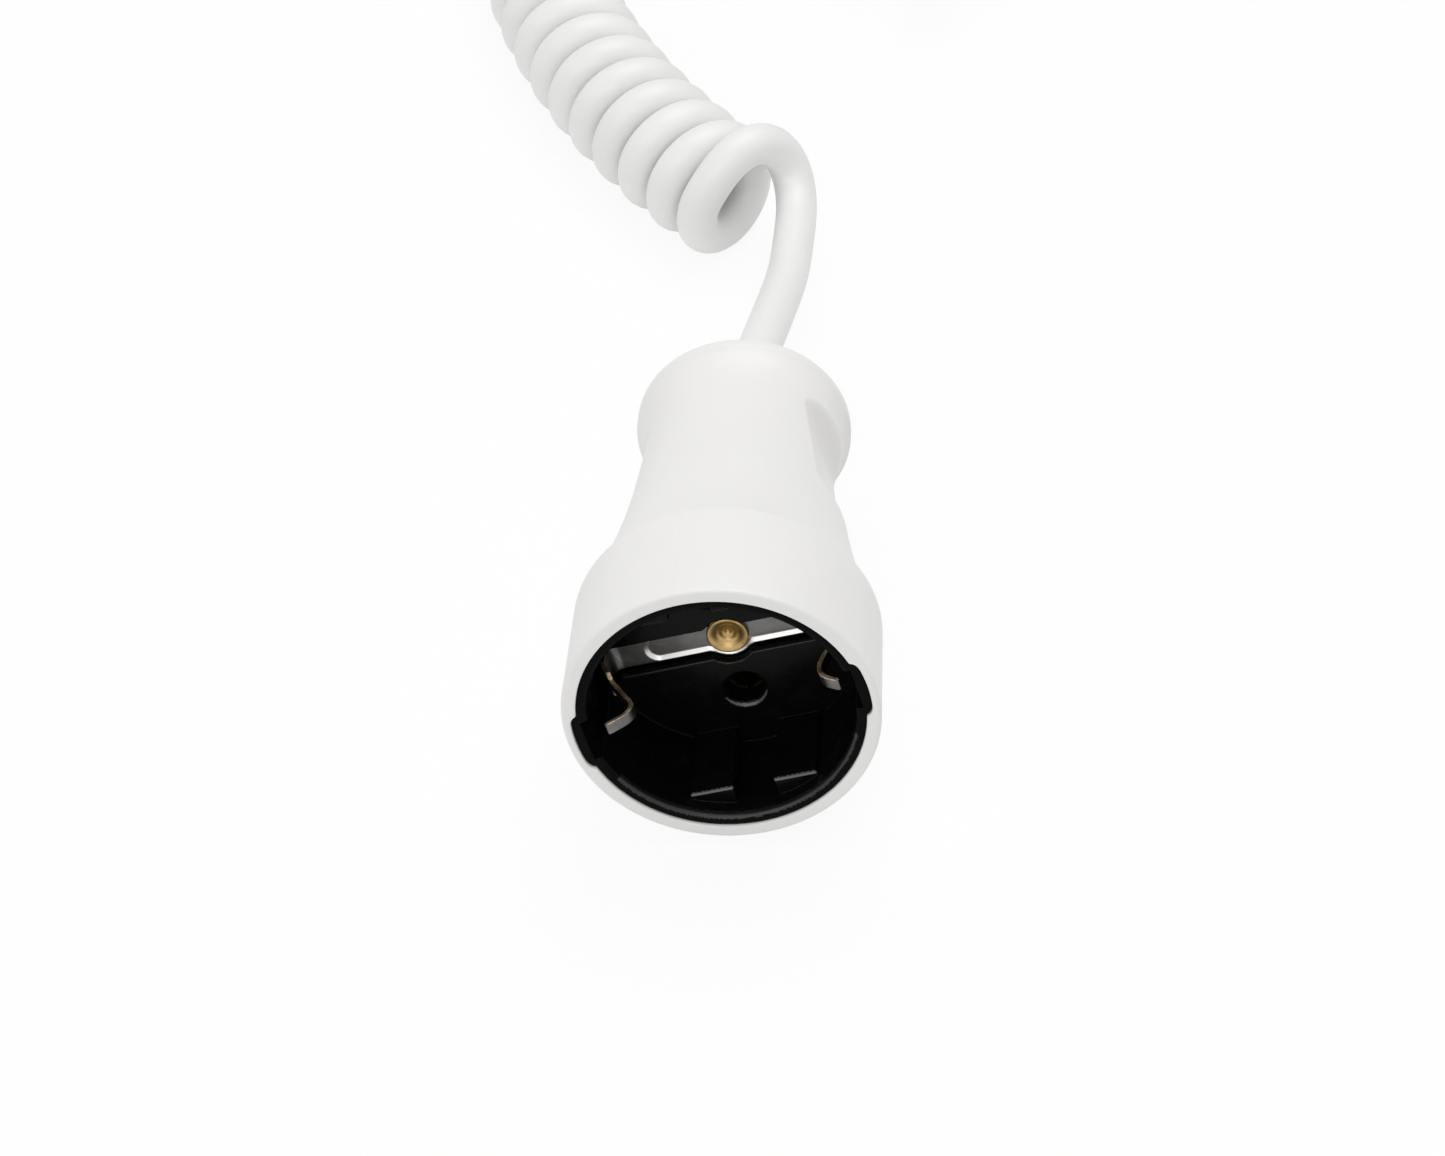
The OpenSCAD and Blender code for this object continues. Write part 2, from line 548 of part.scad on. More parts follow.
// a flat eye under the rivet's tail, with a tab to the crimp barrel of the earth core
module earth_tag() color(nickel) coupling_pose() {
  difference() {
    translate([0, 0, tag_front]) cylinder(r = earth_well_r - 0.2, h = tag_thickness, $fn = 48);
    translate([0, 0, tag_front - over]) cylinder(r = rivet_r + fit_gap, h = 3 * over, $fn = 32);
  }
  difference() {
    union() {
      translate([earth_barrel_place, 0, barrel_front]) cylinder(r = crimp_r, h = crimp_length, $fn = 32);
      translate([earth_barrel_place + crimp_r - 0.7, -1.2, tag_front + tag_thickness / 2])
        cube([0.6, 2.4, barrel_front + 1 - tag_front]);
    }
    translate([earth_barrel_place, 0, tag_front + tag_thickness])
      cylinder(d = core_d + 2 * fit_gap, h = barrel_front + crimp_length, $fn = 32);
  }
}

module contact(side)
coupling_pose() mirror([0, (1 - side) / 2, 0]) translate([0, pin_place, 0]) difference() {
  length = contact_back - contact_front;
  union() {
    translate([0, 0, contact_front]) cylinder(r = contact_r, h = length, $fn = 48);
    translate([0, 0, contact_back - 0.5]) cylinder(r = crimp_r, h = crimp_length + 0.5, $fn = 32);
  }
  translate([0, 0, contact_front - over]) cylinder(d = pin_d, h = length + over - contact_floor, $fn = 48);
  translate([-contact_slit / 2, 0, contact_front - over])
    cube([contact_slit, 2 * contact_r, length + over - slit_stop]);
  translate([0, 0, contact_back]) cylinder(d = core_d + 2 * fit_gap, h = crimp_length + over, $fn = 32);
}
module line_contact() color(brass) contact(1);
module neutral_contact() color(brass) contact(-1);

module socket_line_core() color(line_brown) coupling_pose() core(line_route);
module socket_neutral_core() color(neutral_blue) coupling_pose() core(neutral_route);
module socket_earth_core() color(earth_green) coupling_pose() core(earth_route);

module socket_tail() color(white_pvc) {
  route = concat([for (depth = [sheath_end, relief_end - 6, relief_end]) on_coupling_axis(depth)],
    socket_tail_route);
  tube(tube_rings(route, [for (p = route) [1, 0, 0]], cord_r, tail_sides,
    on_coupling_axis(1) - on_coupling_axis(0), coil_in_dir));
}
module curly_cord() color(white_pvc) {
  echo(least_gap_of_the_curls = least_gap(coil_rings), curls = len(curls) / rings_per_curl);
  echo(coil_length = path_length(coil_path), coil_axis_end = coil_axis[len(coil_axis) - 1]);
  tube(coil_rings);
}
module plug_tail() color(white_pvc) {
  route = concat([for (depth = [plug_sheath_end, plug_relief_end - 6, plug_relief_end]) on_plug_axis(depth)],
    plug_tail_route);
  tube(tube_rings(route, [for (p = route) [1, 0, 0]], cord_r, tail_sides,
    on_plug_axis(1) - on_plug_axis(0), -coil_out_dir));
}

module plug_housing() color(white_pvc) plug_pose() difference() {
  union() {
    rotate_extrude($fn = 128) polygon(concat(
      [[0, 0]],
      arc([plug_head_r - edge_round, edge_round], edge_round, -90, 0),
      body_outline(plug_head_r, plug_head_length, plug_neck_r, plug_flange_r, plug_length),
      [[0, plug_length]]));
    bend_relief(plug_length, relief_length);
  }
  for (side = [0, 180]) rotate([0, 0, side]) for (half = [0, 1]) mirror([half, 0, 0])
    translate([plug_key_width / 2, plug_flat, -over]) cube([plug_head_r, plug_head_r, plug_flat_back + over]);
  grips(plug_grip_waist, plug_grip_rise, plug_grip_length,
    plug_length - flange_thickness - plug_grip_to_flange, plug_head_r + over);
  for (side = [0, 180]) rotate([0, 0, side])
    translate([plug_earth_span / 2 - strip_thickness - fit_gap, -strip_width / 2 - fit_gap, -over])
      cube([plug_head_r, strip_width + 2 * fit_gap, bridge_length + strip_thickness + fit_gap + over]);
  translate([-plug_earth_span / 2, -strip_width / 2 - fit_gap, bridge_length - over])
    cube([plug_earth_span, strip_width + 2 * fit_gap, strip_thickness + fit_gap + over]);
  translate([0, 0, -over]) cylinder(r = bridge_r + fit_gap, h = plug_cavity_back + over, $fn = 96);
  fan_hollow(bridge_length, plug_crimp_back, plug_sheath_end);
  translate([0, 0, plug_sheath_end - 0.01]) cylinder(r = cord_r + fit_gap, h = plug_relief_end, $fn = 48);
}

// the hard moulding that carries the pins and the earth sleeve
module plug_bridge() color(white_pvc) plug_pose() difference() {
  cylinder(r = bridge_r, h = bridge_length, $fn = 96);
  for (side = [-1, 1]) translate([0, side * pin_place, 0]) {
    translate([0, 0, -over]) cylinder(r = pin_root_r + fit_gap, h = bridge_length + 2 * over, $fn = 48);
    translate([0, 0, pin_collar_front - fit_gap])
      cylinder(r = pin_collar_r + fit_gap, h = pin_collar_back - pin_collar_front + 2 * fit_gap, $fn = 48);
  }
  translate([-earth_sleeve_offset, 0, -over]) cylinder(r = sleeve_mouth_r, h = bridge_length, $fn = 48);
  translate([-earth_sleeve_offset, 0, sleeve_front])
    cylinder(r = earth_sleeve_r + contact_wall + fit_gap, h = bridge_length, $fn = 48);
}

// a solid pin with a collar that the bridge is moulded round, and a crimp barrel behind
module plug_pin(side) plug_pose() translate([0, side * pin_place, 0]) difference() {
  rotate_extrude($fn = 48) polygon(concat(
      [[0, -pin_length]],
      arc([pin_d / 2 - pin_tip_round, pin_tip_round - pin_length], pin_tip_round, -90, 0),
      [[pin_d / 2, 0], [pin_root_r, 0], [pin_root_r, pin_collar_front], [pin_collar_r, pin_collar_front],
        [pin_collar_r, pin_collar_back], [pin_root_r, pin_collar_back], [pin_root_r, bridge_length],
        [crimp_r, bridge_length], [crimp_r, plug_crimp_back], [0, plug_crimp_back]]));
  translate([0, 0, plug_crimp_front]) cylinder(d = core_d + 2 * fit_gap, h = crimp_length + over, $fn = 32);
}
module line_pin() color(nickel) plug_pin(1);
module neutral_pin() color(nickel) plug_pin(-1);

// one strip: a contact down each side of the head, joined behind the bridge, and a crimp barrel
plug_leg = plug_earth_span / 2 - strip_thickness / 2;
plug_strip_middle = bridge_length + strip_thickness / 2;
plug_strip_half = concat(
  [[plug_leg - 1.5, plug_strip_middle]],
  arc([plug_leg - 1.2, plug_strip_middle - 1.2], 1.2, 90, 0, 4),
  [[plug_leg, 1.2]]);
module plug_earth_strip() color(nickel) plug_pose() {
  bent_strip(plug_strip_half);
  difference() {
    translate([0, 0, plug_strip_middle])
      cylinder(r = crimp_r, h = plug_crimp_back - plug_strip_middle, $fn = 32);
    translate([0, 0, plug_crimp_front]) cylinder(d = core_d + 2 * fit_gap, h = crimp_length + over, $fn = 32);
  }
}
// a slit sleeve for a socket's earth pin, closed where it meets the earth strip
module plug_earth_sleeve() color(brass) plug_pose() translate([-earth_sleeve_offset, 0, 0]) difference() {
  length = bridge_length - sleeve_front;
  translate([0, 0, sleeve_front]) cylinder(r = earth_sleeve_r + contact_wall, h = length, $fn = 48);
  translate([0, 0, sleeve_front - over])
    cylinder(r = earth_sleeve_r, h = length + over - 2.5 * contact_floor, $fn = 48);
  translate([0, -contact_slit / 2, sleeve_front - over])
    cube([2 * contact_r, contact_slit, length + over - slit_stop]);
}

module plug_line_core() color(line_brown) plug_pose() core(plug_line_route);
module plug_neutral_core() color(neutral_blue) plug_pose() core(plug_neutral_route);
module plug_earth_core() color(earth_green) plug_pose() core(plug_earth_route);

socket_housing();
socket_insert();
insert_cover();
earth_bracket();
earth_rivet();
earth_tag();
line_contact();
neutral_contact();
socket_line_core();
socket_neutral_core();
socket_earth_core();
socket_tail();
curly_cord();
plug_tail();
plug_housing();
plug_bridge();
line_pin();
neutral_pin();
plug_earth_strip();
plug_earth_sleeve();
plug_line_core();
plug_neutral_core();
plug_earth_core();
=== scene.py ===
import json
import math
from types import SimpleNamespace

import bpy
import numpy as np
from mathutils import Matrix, Vector


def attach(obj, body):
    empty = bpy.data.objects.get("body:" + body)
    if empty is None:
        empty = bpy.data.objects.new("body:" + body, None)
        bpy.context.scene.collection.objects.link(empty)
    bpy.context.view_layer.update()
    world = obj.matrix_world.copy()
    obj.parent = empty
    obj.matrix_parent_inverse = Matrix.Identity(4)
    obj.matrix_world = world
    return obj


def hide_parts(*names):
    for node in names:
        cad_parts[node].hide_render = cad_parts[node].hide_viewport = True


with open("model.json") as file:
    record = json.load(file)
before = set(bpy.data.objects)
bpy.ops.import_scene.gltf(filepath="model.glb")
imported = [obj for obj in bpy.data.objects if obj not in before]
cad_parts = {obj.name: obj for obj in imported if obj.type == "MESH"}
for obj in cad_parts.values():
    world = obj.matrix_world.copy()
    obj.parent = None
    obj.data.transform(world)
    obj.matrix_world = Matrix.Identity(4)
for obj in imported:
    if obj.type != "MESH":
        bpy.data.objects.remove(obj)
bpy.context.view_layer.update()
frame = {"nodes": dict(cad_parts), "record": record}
mounts = {m["name"]: m for m in frame["record"]["mounts"]}
mm = 0.001

# lengths in the dictionaries are millimetres, and depths start at the coupling's mouth or the plug's face


def placeOf(origin, inward, towardsLine):
    # an origin and three directions: towards a clip, towards the line pin and into the depth
    z = Vector(inward).normalized()
    y = Vector(towardsLine)
    y = (y - y.dot(z) * z).normalized()
    return np.array(origin, float), np.array([y.cross(z), y, z], float)


def inPlace(place, points):
    # millimetres along a place's own directions, turned into metres in the frame
    return place[0] + np.asarray(points, float) * mm @ place[1]


def pointOf(name):
    return Vector(mounts[name]["pos_m"])


insertFront = 0.3
pinMountDepth = -8.6
mouthAxis = Vector(mounts["socket_recess"]["axis"])
plugAxis = Vector(mounts["line_plug_pin"]["axis"])
couplingPlace = placeOf(
    pointOf("socket_recess") + mouthAxis * insertFront * mm,
    -mouthAxis, pointOf("line_socket") - pointOf("neutral_socket"))
plugPlace = placeOf(
    (pointOf("line_plug_pin") + pointOf("neutral_plug_pin")) / 2 + plugAxis * pinMountDepth * mm,
    -plugAxis, pointOf("line_plug_pin") - pointOf("neutral_plug_pin"))


# the camera: its place, three angles in degrees and its lens
view = {"eye": (20.5, -391.8, 395.2), "turnLeft": 3.29, "lookDown": 44.29, "roll": -0.46, "lens": 87.2}

camera = bpy.data.objects.new("camera", bpy.data.cameras.new("camera"))
bpy.context.collection.objects.link(camera)
camera.location = Vector(view["eye"]) * mm
camera.rotation_mode = "QUATERNION"
turn = (Matrix.Rotation(math.radians(view["turnLeft"]), 4, "Z")
        @ Matrix.Rotation(math.radians(90 - view["lookDown"]), 4, "X")
        @ Matrix.Rotation(math.radians(view["roll"]), 4, "Z"))
camera.rotation_quaternion = turn.to_quaternion()
camera.data.lens = view["lens"]
camera.data.sensor_width = 36
camera.data.clip_start = 0.01
bpy.context.scene.camera = camera
print("camera ready")


class Wire:
    # one output of a node, so that a shader's maths reads as plain expressions
    def __init__(self, tree, socket):
        self.tree = tree
        self.socket = socket

    def maths(self, operation, first, second=0.0):
        node = self.tree.nodes.new("ShaderNodeMath")
        node.operation = operation
        for hole, value in zip(node.inputs, (first, second)):
            feed(self.tree, hole, value)
        return Wire(self.tree, node.outputs[0])

    def __add__(self, other):
        return self.maths("ADD", self, other)

    def __sub__(self, other):
        return self.maths("SUBTRACT", self, other)

    def __rsub__(self, other):
        return self.maths("SUBTRACT", other, self)

    def __mul__(self, other):
        return self.maths("MULTIPLY", self, other)

    def atMost(self, other):
        return self.maths("MINIMUM", self, other)

    def sine(self):
        return self.maths("SINE", self)

    __radd__ = __add__
    __rmul__ = __mul__


def feed(tree, hole, value):
    # links a wire to a node's input, or sets the input to a constant
    if isinstance(value, Wire):
        tree.links.new(value.socket, hole)
    elif isinstance(value, (tuple, list)) and hole.type == "RGBA":
        hole.default_value = (*value, 1.0)[:4]
    else:
        hole.default_value = value


# every bump is as deep as the grain of a mould or a press, in metres
grainDepth = 0.00002


class Nodes:
    # the nodes of a material or a world
    def __init__(self, tree):
        self.tree = tree

    def node(self, kind, out=0, settings=None, numbered=None, **inputs):
        # a new node's output, its inputs given by number or by name
        made = self.tree.nodes.new("ShaderNode" + kind)
        for key, value in (settings or {}).items():
            if key == "stops":
                stops = made.color_ramp.elements
                while len(stops) < len(value):
                    stops.new(0.5)
                for stop, (position, colour) in zip(stops, value):
                    stop.position = position
                    stop.color = (*colour, 1.0)
            else:
                setattr(made, key, value)
        for index, value in (numbered or {}).items():
            feed(self.tree, made.inputs[index], value)
        for key, value in inputs.items():
            feed(self.tree, made.inputs[key.replace("_", " ")], value)
        return Wire(self.tree, made.outputs[out])

    def seenDirectly(self):
        # 1 for rays that look at a surface, in a mirror or not, and 0 for rays that light others
        camera = self.node("LightPath", out="Is Camera Ray")
        glossy = self.node("LightPath", out="Is Glossy Ray")
        through = self.node("LightPath", out="Is Transmission Ray")
        return (camera + glossy + through).atMost(1.0)


class Finish(Nodes):
    # a material round one Principled shader, whose constants are set on its own sockets
    def __init__(self, name, **constants):
        self.material = bpy.data.materials.new(name)
        self.material.use_nodes = True
        super().__init__(self.material.node_tree)
        self.shader = self.tree.nodes["Principled BSDF"]
        for socketName, value in constants.items():
            self.set(socketName, value)

    def set(self, socketName, value):
        feed(self.tree, self.shader.inputs[socketName.replace("_", " ")], value)

    def place(self):
        return self.node("TexCoord", out="Object")

    def noise(self, scale, detail=3.0, roughness=0.5, place=None):
        return self.node("TexNoise", Vector=place or self.place(), Scale=scale, Detail=detail,
                         Roughness=roughness)

    def stretched(self, across, along):
        # a place stretched for streaks: small numbers are long streaks
        return self.node("Mapping", Vector=self.place(), Scale=(across, along, across))

    def ramp(self, factor, low, high):
        # 0 up to low and 1 from high
        stops = [(low, (0, 0, 0)), (high, (1, 1, 1))]
        return self.node("ValToRGB", settings={"stops": stops}, Fac=factor)

    def mixed(self, first, second, factor):
        return self.node("Mix", out=2, settings={"data_type": "RGBA"},
                         numbered={0: factor, 6: first, 7: second})

    def bump(self, height, strength):
        self.set("Normal", self.node("Bump", Height=height, Distance=grainDepth, Strength=strength))


# a pair is a darker and a lighter tone that a finish clouds between
colours = {
    "pvc": ((0.815, 0.808, 0.790), (0.846, 0.840, 0.822)),
    "cord": ((0.815, 0.808, 0.790), (0.852, 0.850, 0.842)),
    "bridge": ((0.76, 0.755, 0.73), (0.81, 0.80, 0.78)),
    "black": ((0.0022, 0.0021, 0.0021), (0.0042, 0.0040, 0.0038)),
    "film": (0.011, 0.010, 0.009), "dust": (0.07, 0.066, 0.06),
    # painted shade for the insert's face, and lighter blacks for painted highlights and glints on its lower
    # edges
    "shadedFaceBlack": (0.002, 0.002, 0.002), "paintedHighlightBlack": (0.006, 0.006, 0.007),
    "paintedGlintBlack": (0.09, 0.09, 0.092),
    # the coupling's strip is much darker than nickel: a painted dark reflection of its surroundings
    "plate": ((0.15, 0.147, 0.14), (0.24, 0.236, 0.228)),
    "lighterPlate": ((0.40, 0.39, 0.375), (0.54, 0.53, 0.51)),
    "scratch": (0.50, 0.48, 0.45),
    # the bevel's painted highlight
    "bevel": ((0.60, 0.59, 0.57), (0.84, 0.83, 0.81)),
    "cutEdge": ((0.86, 0.58, 0.34), (0.92, 0.80, 0.62)),
    # brass painted nearly black, for the shade in the bores
    "bore": ((0.02, 0.014, 0.007), (0.05, 0.035, 0.017)),
    "brass": ((0.45, 0.30, 0.115), (0.60, 0.43, 0.19)), "tarnish": (0.27, 0.155, 0.05),
    "brown": (0.16, 0.06, 0.025), "blue": (0.02, 0.12, 0.42),
    "yellow": (0.62, 0.56, 0.04), "green": (0.05, 0.25, 0.05)}


def mouldedPvc():
    finish = Finish("moulded_pvc", IOR=1.5)
    cloud = finish.noise(55, detail=4)
    grain = finish.noise(2600, detail=2)
    finish.set("Base_Color", finish.mixed(*colours["pvc"], cloud * 1.4))
    finish.set("Roughness", 0.36 + cloud * 0.10 + grain * 0.06)
    finish.bump(grain + finish.noise(500) * 1.5, 0.5)
    return finish.material


def cordPvc():
    finish = Finish("cord_pvc", IOR=1.5)
    cloud = finish.noise(80, detail=3)
    scuff = finish.ramp(finish.noise(900, detail=2), 0.60, 0.78)
    finish.set("Base_Color", finish.mixed(*colours["cord"], cloud * 1.5))
    finish.set("Roughness", 0.34 + cloud * 0.08 + scuff * 0.12)
    finish.bump(finish.noise(1400) + finish.noise(220) * 3, 0.4)
    return finish.material


def blackMoulding():
    finish = Finish("black_moulding", IOR=1.46, Specular_IOR_Level=0.1)
    cloud = finish.noise(120, detail=4)
    dust = finish.ramp(finish.noise(2100, detail=3, roughness=0.7), 0.70, 0.80)
    film = finish.ramp(finish.noise(260, detail=5, roughness=0.65), 0.50, 0.85)
    flow = finish.noise(70, detail=3, place=finish.stretched(1.0, 0.35))
    filmed = finish.mixed(finish.mixed(*colours["black"], cloud), colours["film"], film * 0.5)
    finish.set("Base_Color", finish.mixed(filmed, colours["dust"], dust * 0.35))
    finish.set("Roughness", 0.20 + film * 0.14 + dust * 0.25 + cloud * 0.06)
    finish.bump(flow * 6 + finish.noise(1600) * 0.7, 0.6)
    return finish.material


def paintedLightBlack(name, colour, roughness, shine=0.5):
    # the same moulding, painted lighter and shinier on chosen faces for painted highlights and glints, or
    # darker and duller there for painted shade
    finish = Finish(name, IOR=1.46, Specular_IOR_Level=shine)
    cloud = finish.noise(300, detail=3)
    finish.set("Base_Color", finish.mixed(colour, tuple(c * 1.6 for c in colour), cloud))
    finish.set("Roughness", roughness + cloud * 0.12)
    finish.bump(finish.noise(1200), 0.5)
    return finish.material


def nickelPlate(name, low, high):
    finish = Finish(name, Metallic=1.0)
    streak = finish.noise(900, detail=4, place=finish.stretched(0.12, 1.0))
    stain = finish.ramp(finish.noise(240, detail=4), 0.40, 0.75)
    scratch = finish.ramp(finish.noise(3000, detail=2, place=finish.stretched(0.05, 1.0)), 0.62, 0.75)
    plate = finish.mixed(low, high, streak)
    stained = finish.mixed(plate, tuple(c * 0.55 for c in low), stain * 0.6)
    finish.set("Base_Color", finish.mixed(stained, colours["scratch"], scratch * 0.5))
    finish.set("Roughness", 0.26 + streak * 0.12 + stain * 0.12 - scratch * 0.08)
    finish.bump(streak + scratch * 0.5, 0.35)
    return finish.material


# the pressed panel's bevel, painted much lighter than the plate as a painted highlight
def bevelHighlightPlate():
    finish = Finish("bevel_painted_highlight", Metallic=1.0)
    streak = finish.noise(900, detail=4, place=finish.stretched(0.12, 1.0))
    finish.set("Base_Color", finish.mixed(*colours["bevel"], streak))
    finish.set("Roughness", 0.30 + streak * 0.15)
    finish.bump(streak, 0.3)
    return finish.material


def bronzeEdge():
    finish = Finish("bronze_edge", Metallic=1.0)
    patch = finish.ramp(finish.noise(700, detail=3), 0.35, 0.65)
    finish.set("Base_Color", finish.mixed(*colours["cutEdge"], patch))
    finish.set("Roughness", 0.45 + patch * 0.15)
    finish.bump(finish.noise(4000), 0.4)
    return finish.material


def paintedShadeBrass():
    # contacts deep in their bores, painted nearly black for the shade in the bores
    finish = Finish("bore_shade_brass", Metallic=1.0)
    cloud = finish.noise(900, detail=4)
    finish.set("Base_Color", finish.mixed(*colours["bore"], cloud))
    finish.set("Roughness", 0.45 + cloud * 0.2)
    return finish.material


def turnedBrass():
    finish = Finish("turned_brass", Metallic=1.0)
    cloud = finish.noise(900, detail=4)
    tarnish = finish.ramp(finish.noise(600, detail=4, roughness=0.6), 0.48, 0.75)
    bright = finish.mixed(*colours["brass"], cloud)
    finish.set("Base_Color", finish.mixed(bright, colours["tarnish"], tarnish * 0.6))
    finish.set("Roughness", 0.33 + cloud * 0.12 + tarnish * 0.15)
    finish.bump(finish.noise(3000), 0.3)
    return finish.material


def hardBridge():
    finish = Finish("hard_bridge", IOR=1.5)
    cloud = finish.noise(150, detail=4)
    finish.set("Base_Color", finish.mixed(*colours["bridge"], cloud))
    finish.set("Roughness", 0.26 + cloud * 0.12)
    finish.bump(finish.noise(1800), 0.4)
    return finish.material


def coreSheath(name, colour, stripe=None):
    # the coloured insulation of one core, with a lengthwise stripe on the earth core
    finish = Finish(name, IOR=1.5)
    cloud = finish.noise(400, detail=3)
    shade = tuple(c * 0.8 for c in colour)
    tone = finish.mixed(shade, colour, cloud)
    if stripe:
        band = (finish.node("SeparateXYZ", Vector=finish.place()) * 1400).sine()
        tone = finish.mixed(tone, stripe, finish.ramp(band, 0.49, 0.51))
    finish.set("Base_Color", tone)
    finish.set("Roughness", 0.35 + cloud * 0.1)
    return finish.material


finishes = {
    "white_pvc": mouldedPvc(),
    "white_cord": cordPvc(),
    "white_bridge": hardBridge(),
    "black_thermoset": blackMoulding(),
    "nickel_plate": nickelPlate("nickel_plate", *colours["plate"]),
    "brass": turnedBrass(),
    "brown_core": coreSheath("brown_sheath", colours["brown"]),
    "blue_core": coreSheath("blue_sheath", colours["blue"]),
    "earth_core": coreSheath("earth_sheath", colours["yellow"], stripe=colours["green"])}
cutEdge = bronzeEdge()
paintedBevelHighlight = bevelHighlightPlate()
shadedBoreFinish = paintedShadeBrass()
# the plug's pins and earth strip: the same nickel, lighter than the coupling's painted-dark plate
lighterPlate = nickelPlate("lighter_nickel_plate", *colours["lighterPlate"])
# painted shade: the mouth's face is darker and duller than the rest of the moulding, in place of the dark
# surroundings it reflects
shadedFaceBlack = paintedLightBlack("shaded_face_black", colours["shadedFaceBlack"], 0.35, shine=0.04)
# painted highlights: the lower inner lip and the lower trough edges are lighter and shinier
paintedHighlightBlack = paintedLightBlack("painted_highlight_black", colours["paintedHighlightBlack"], 0.3)
# painted glints: the lower guide edges and a crescent under the pin's hole are much lighter and shinier
paintedGlintFinish = paintedLightBlack("painted_glint_black", colours["paintedGlintBlack"], 0.2)
print("materials ready")


def pieceFrom(name, points, quads, slotName, replaced, normals=None):
    # a smooth piece of quads, which stands in for the CAD nodes that it replaces
    points, quads = np.asarray(points, np.float32), np.asarray(quads, np.int32)
    mesh = bpy.data.meshes.new(name)
    mesh.vertices.add(len(points))
    mesh.vertices.foreach_set("co", points.ravel())
    mesh.loops.add(quads.size)
    mesh.loops.foreach_set("vertex_index", quads.ravel())
    mesh.polygons.add(len(quads))
    mesh.polygons.foreach_set("loop_start", np.arange(0, quads.size, 4, dtype=np.int32))
    mesh.polygons.foreach_set("use_smooth", np.ones(len(quads), bool))
    mesh.update(calc_edges=True)
    mesh.validate()
    if normals is not None:
        mesh.normals_split_custom_set_from_vertices(np.asarray(normals, np.float32).tolist())
    piece = bpy.data.objects.new(name, mesh)
    bpy.context.collection.objects.link(piece)
    mesh.materials.append(finishes[slotName])
    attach(piece, "root")
    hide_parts(*replaced)
    return piece


def gridQuads(rings, sides, closed=False):
    # quads over rings of equal size, each ring a closed loop; closed joins the last ring to the first
    i = np.arange(rings if closed else rings - 1)[:, None]
    k = np.arange(sides)[None, :]
    here, ahead = i * sides, (i + 1) % rings * sides
    side = (k + 1) % sides
    return np.stack([here + k, here + side, ahead + side, ahead + k], -1).reshape(-1, 4)


def between(first, last, count, end=False):
    return [first + (last - first) * i / count for i in range(count + end)]


def curve2(a, b, c, count, end=False):
    # quadratic curve through a and c, drawn towards b
    a, b, c = (np.array(p, float) for p in (a, b, c))
    return [tuple(a * (1 - t) ** 2 + b * 2 * t * (1 - t) + c * t * t) for t in between(0, 1, count, end)]


def arc(centre, radius, fromDeg, toDeg, count):
    # both ends included
    angles = [math.radians(x) for x in between(fromDeg, toDeg, count, end=True)]
    return [(centre[0] + radius * math.cos(x), centre[1] + radius * math.sin(x)) for x in angles]


def line(a, b, count):
    # without its last point
    return [(r, d) for r, d in zip(between(a[0], b[0], count), between(a[1], b[1], count))]


cord = {
    "diameter": 7.2, "sides": 20, "step": 1.3,
    # in the coupling and out of its bend relief, as depths
    "couplingDepths": (60, 70, 81), "exitDepth": 87,
    # from there to the curls, as places in the frame
    "route": [(0.9, 50, 14.8), (2.1, 57.5, 13.6), (3.4, 65, 12.5), (4.6, 72, 11.7), (5.3, 77, 11.3),
              (5.7, 82, 11.2)],
    "inDirection": (0.05, 1, 0.02), "inHandles": (19.7, 19.8),
    # where the curls' axis starts, and its heading and the first curl's phase in degrees
    "coilStart": (-4.9, 96.6), "heading": 46, "phase": 143, "curlRadius": 8.2, "clearance": 0.1,
    # (curls, pitch, degrees that the axis turns) for each run of curls
    "runs": [(10, 7.9, 31), (4, 8.1, 16), (11, 8.1, 0), (11, 10, 180), (0.75, 8.1, 0)],
    # from the last curl to behind the plug, then into it, as depths
    "outPoint": (29, 254, 13.4), "outDirection": (0, -1, 0.02), "outHandles": (16, 8),
    "plugDepths": (65, 59, 36),
    # the whole cord, in metres
    "length": 2.09}


def smoothThrough(knots, count):
    # a smooth curve through all the knots
    p = [np.array(k, float) for k in knots]
    p = [2 * p[0] - p[1], *p, 2 * p[-1] - p[-2]]
    points = []
    for a, b, c, d in zip(p, p[1:], p[2:], p[3:]):
        for t in between(0, 1, count):
            points.append(0.5 * (2 * b + (c - a) * t + (2 * a - 5 * b + 4 * c - d) * t * t
                                 + (3 * b - a - 3 * c + d) * t ** 3))
    return [*points, p[-2]]


def cubic(a, b, c, d, count):
    return [a * (1 - t) ** 3 + 3 * b * t * (1 - t) ** 2 + 3 * c * t * t * (1 - t) + d * t ** 3
            for t in between(0, 1, count)]


def unit(v):
    return np.array(v, float) / np.linalg.norm(v)


def turnOf(sides):
    # the angles of a ring's points
    return np.arange(sides) * 2 * math.pi / sides


def onCurl(place, heading, phase):
    # a point of the helix whose axis passes through a place
    h, f = math.radians(heading), math.radians(phase)
    side = np.array([math.cos(h), math.sin(h), 0.0])
    return place + cord["curlRadius"] * (math.cos(f) * side + math.sin(f) * np.array([0, 0, 1]))


def curlPoints(perCurl):
    # the curls: a helix round an axis that lies level and turns gently, with the curls just off the floor
    height = cord["curlRadius"] + cord["diameter"] / 2 + cord["clearance"]
    place, heading, phase = np.array([*cord["coilStart"], height]), cord["heading"], cord["phase"]
    points = []
    for curls, pitch, turned in cord["runs"]:
        steps = round(curls * perCurl)
        for _ in range(steps):
            points.append(onCurl(place, heading, phase))
            middle = math.radians(heading - turned / steps / 2)
            forward = np.array([-math.sin(middle), math.cos(middle), 0.0])
            place = place + forward * pitch / perCurl
            heading -= turned / steps
            phase += 360 / perCurl
    return [*points, onCurl(place, heading, phase)]


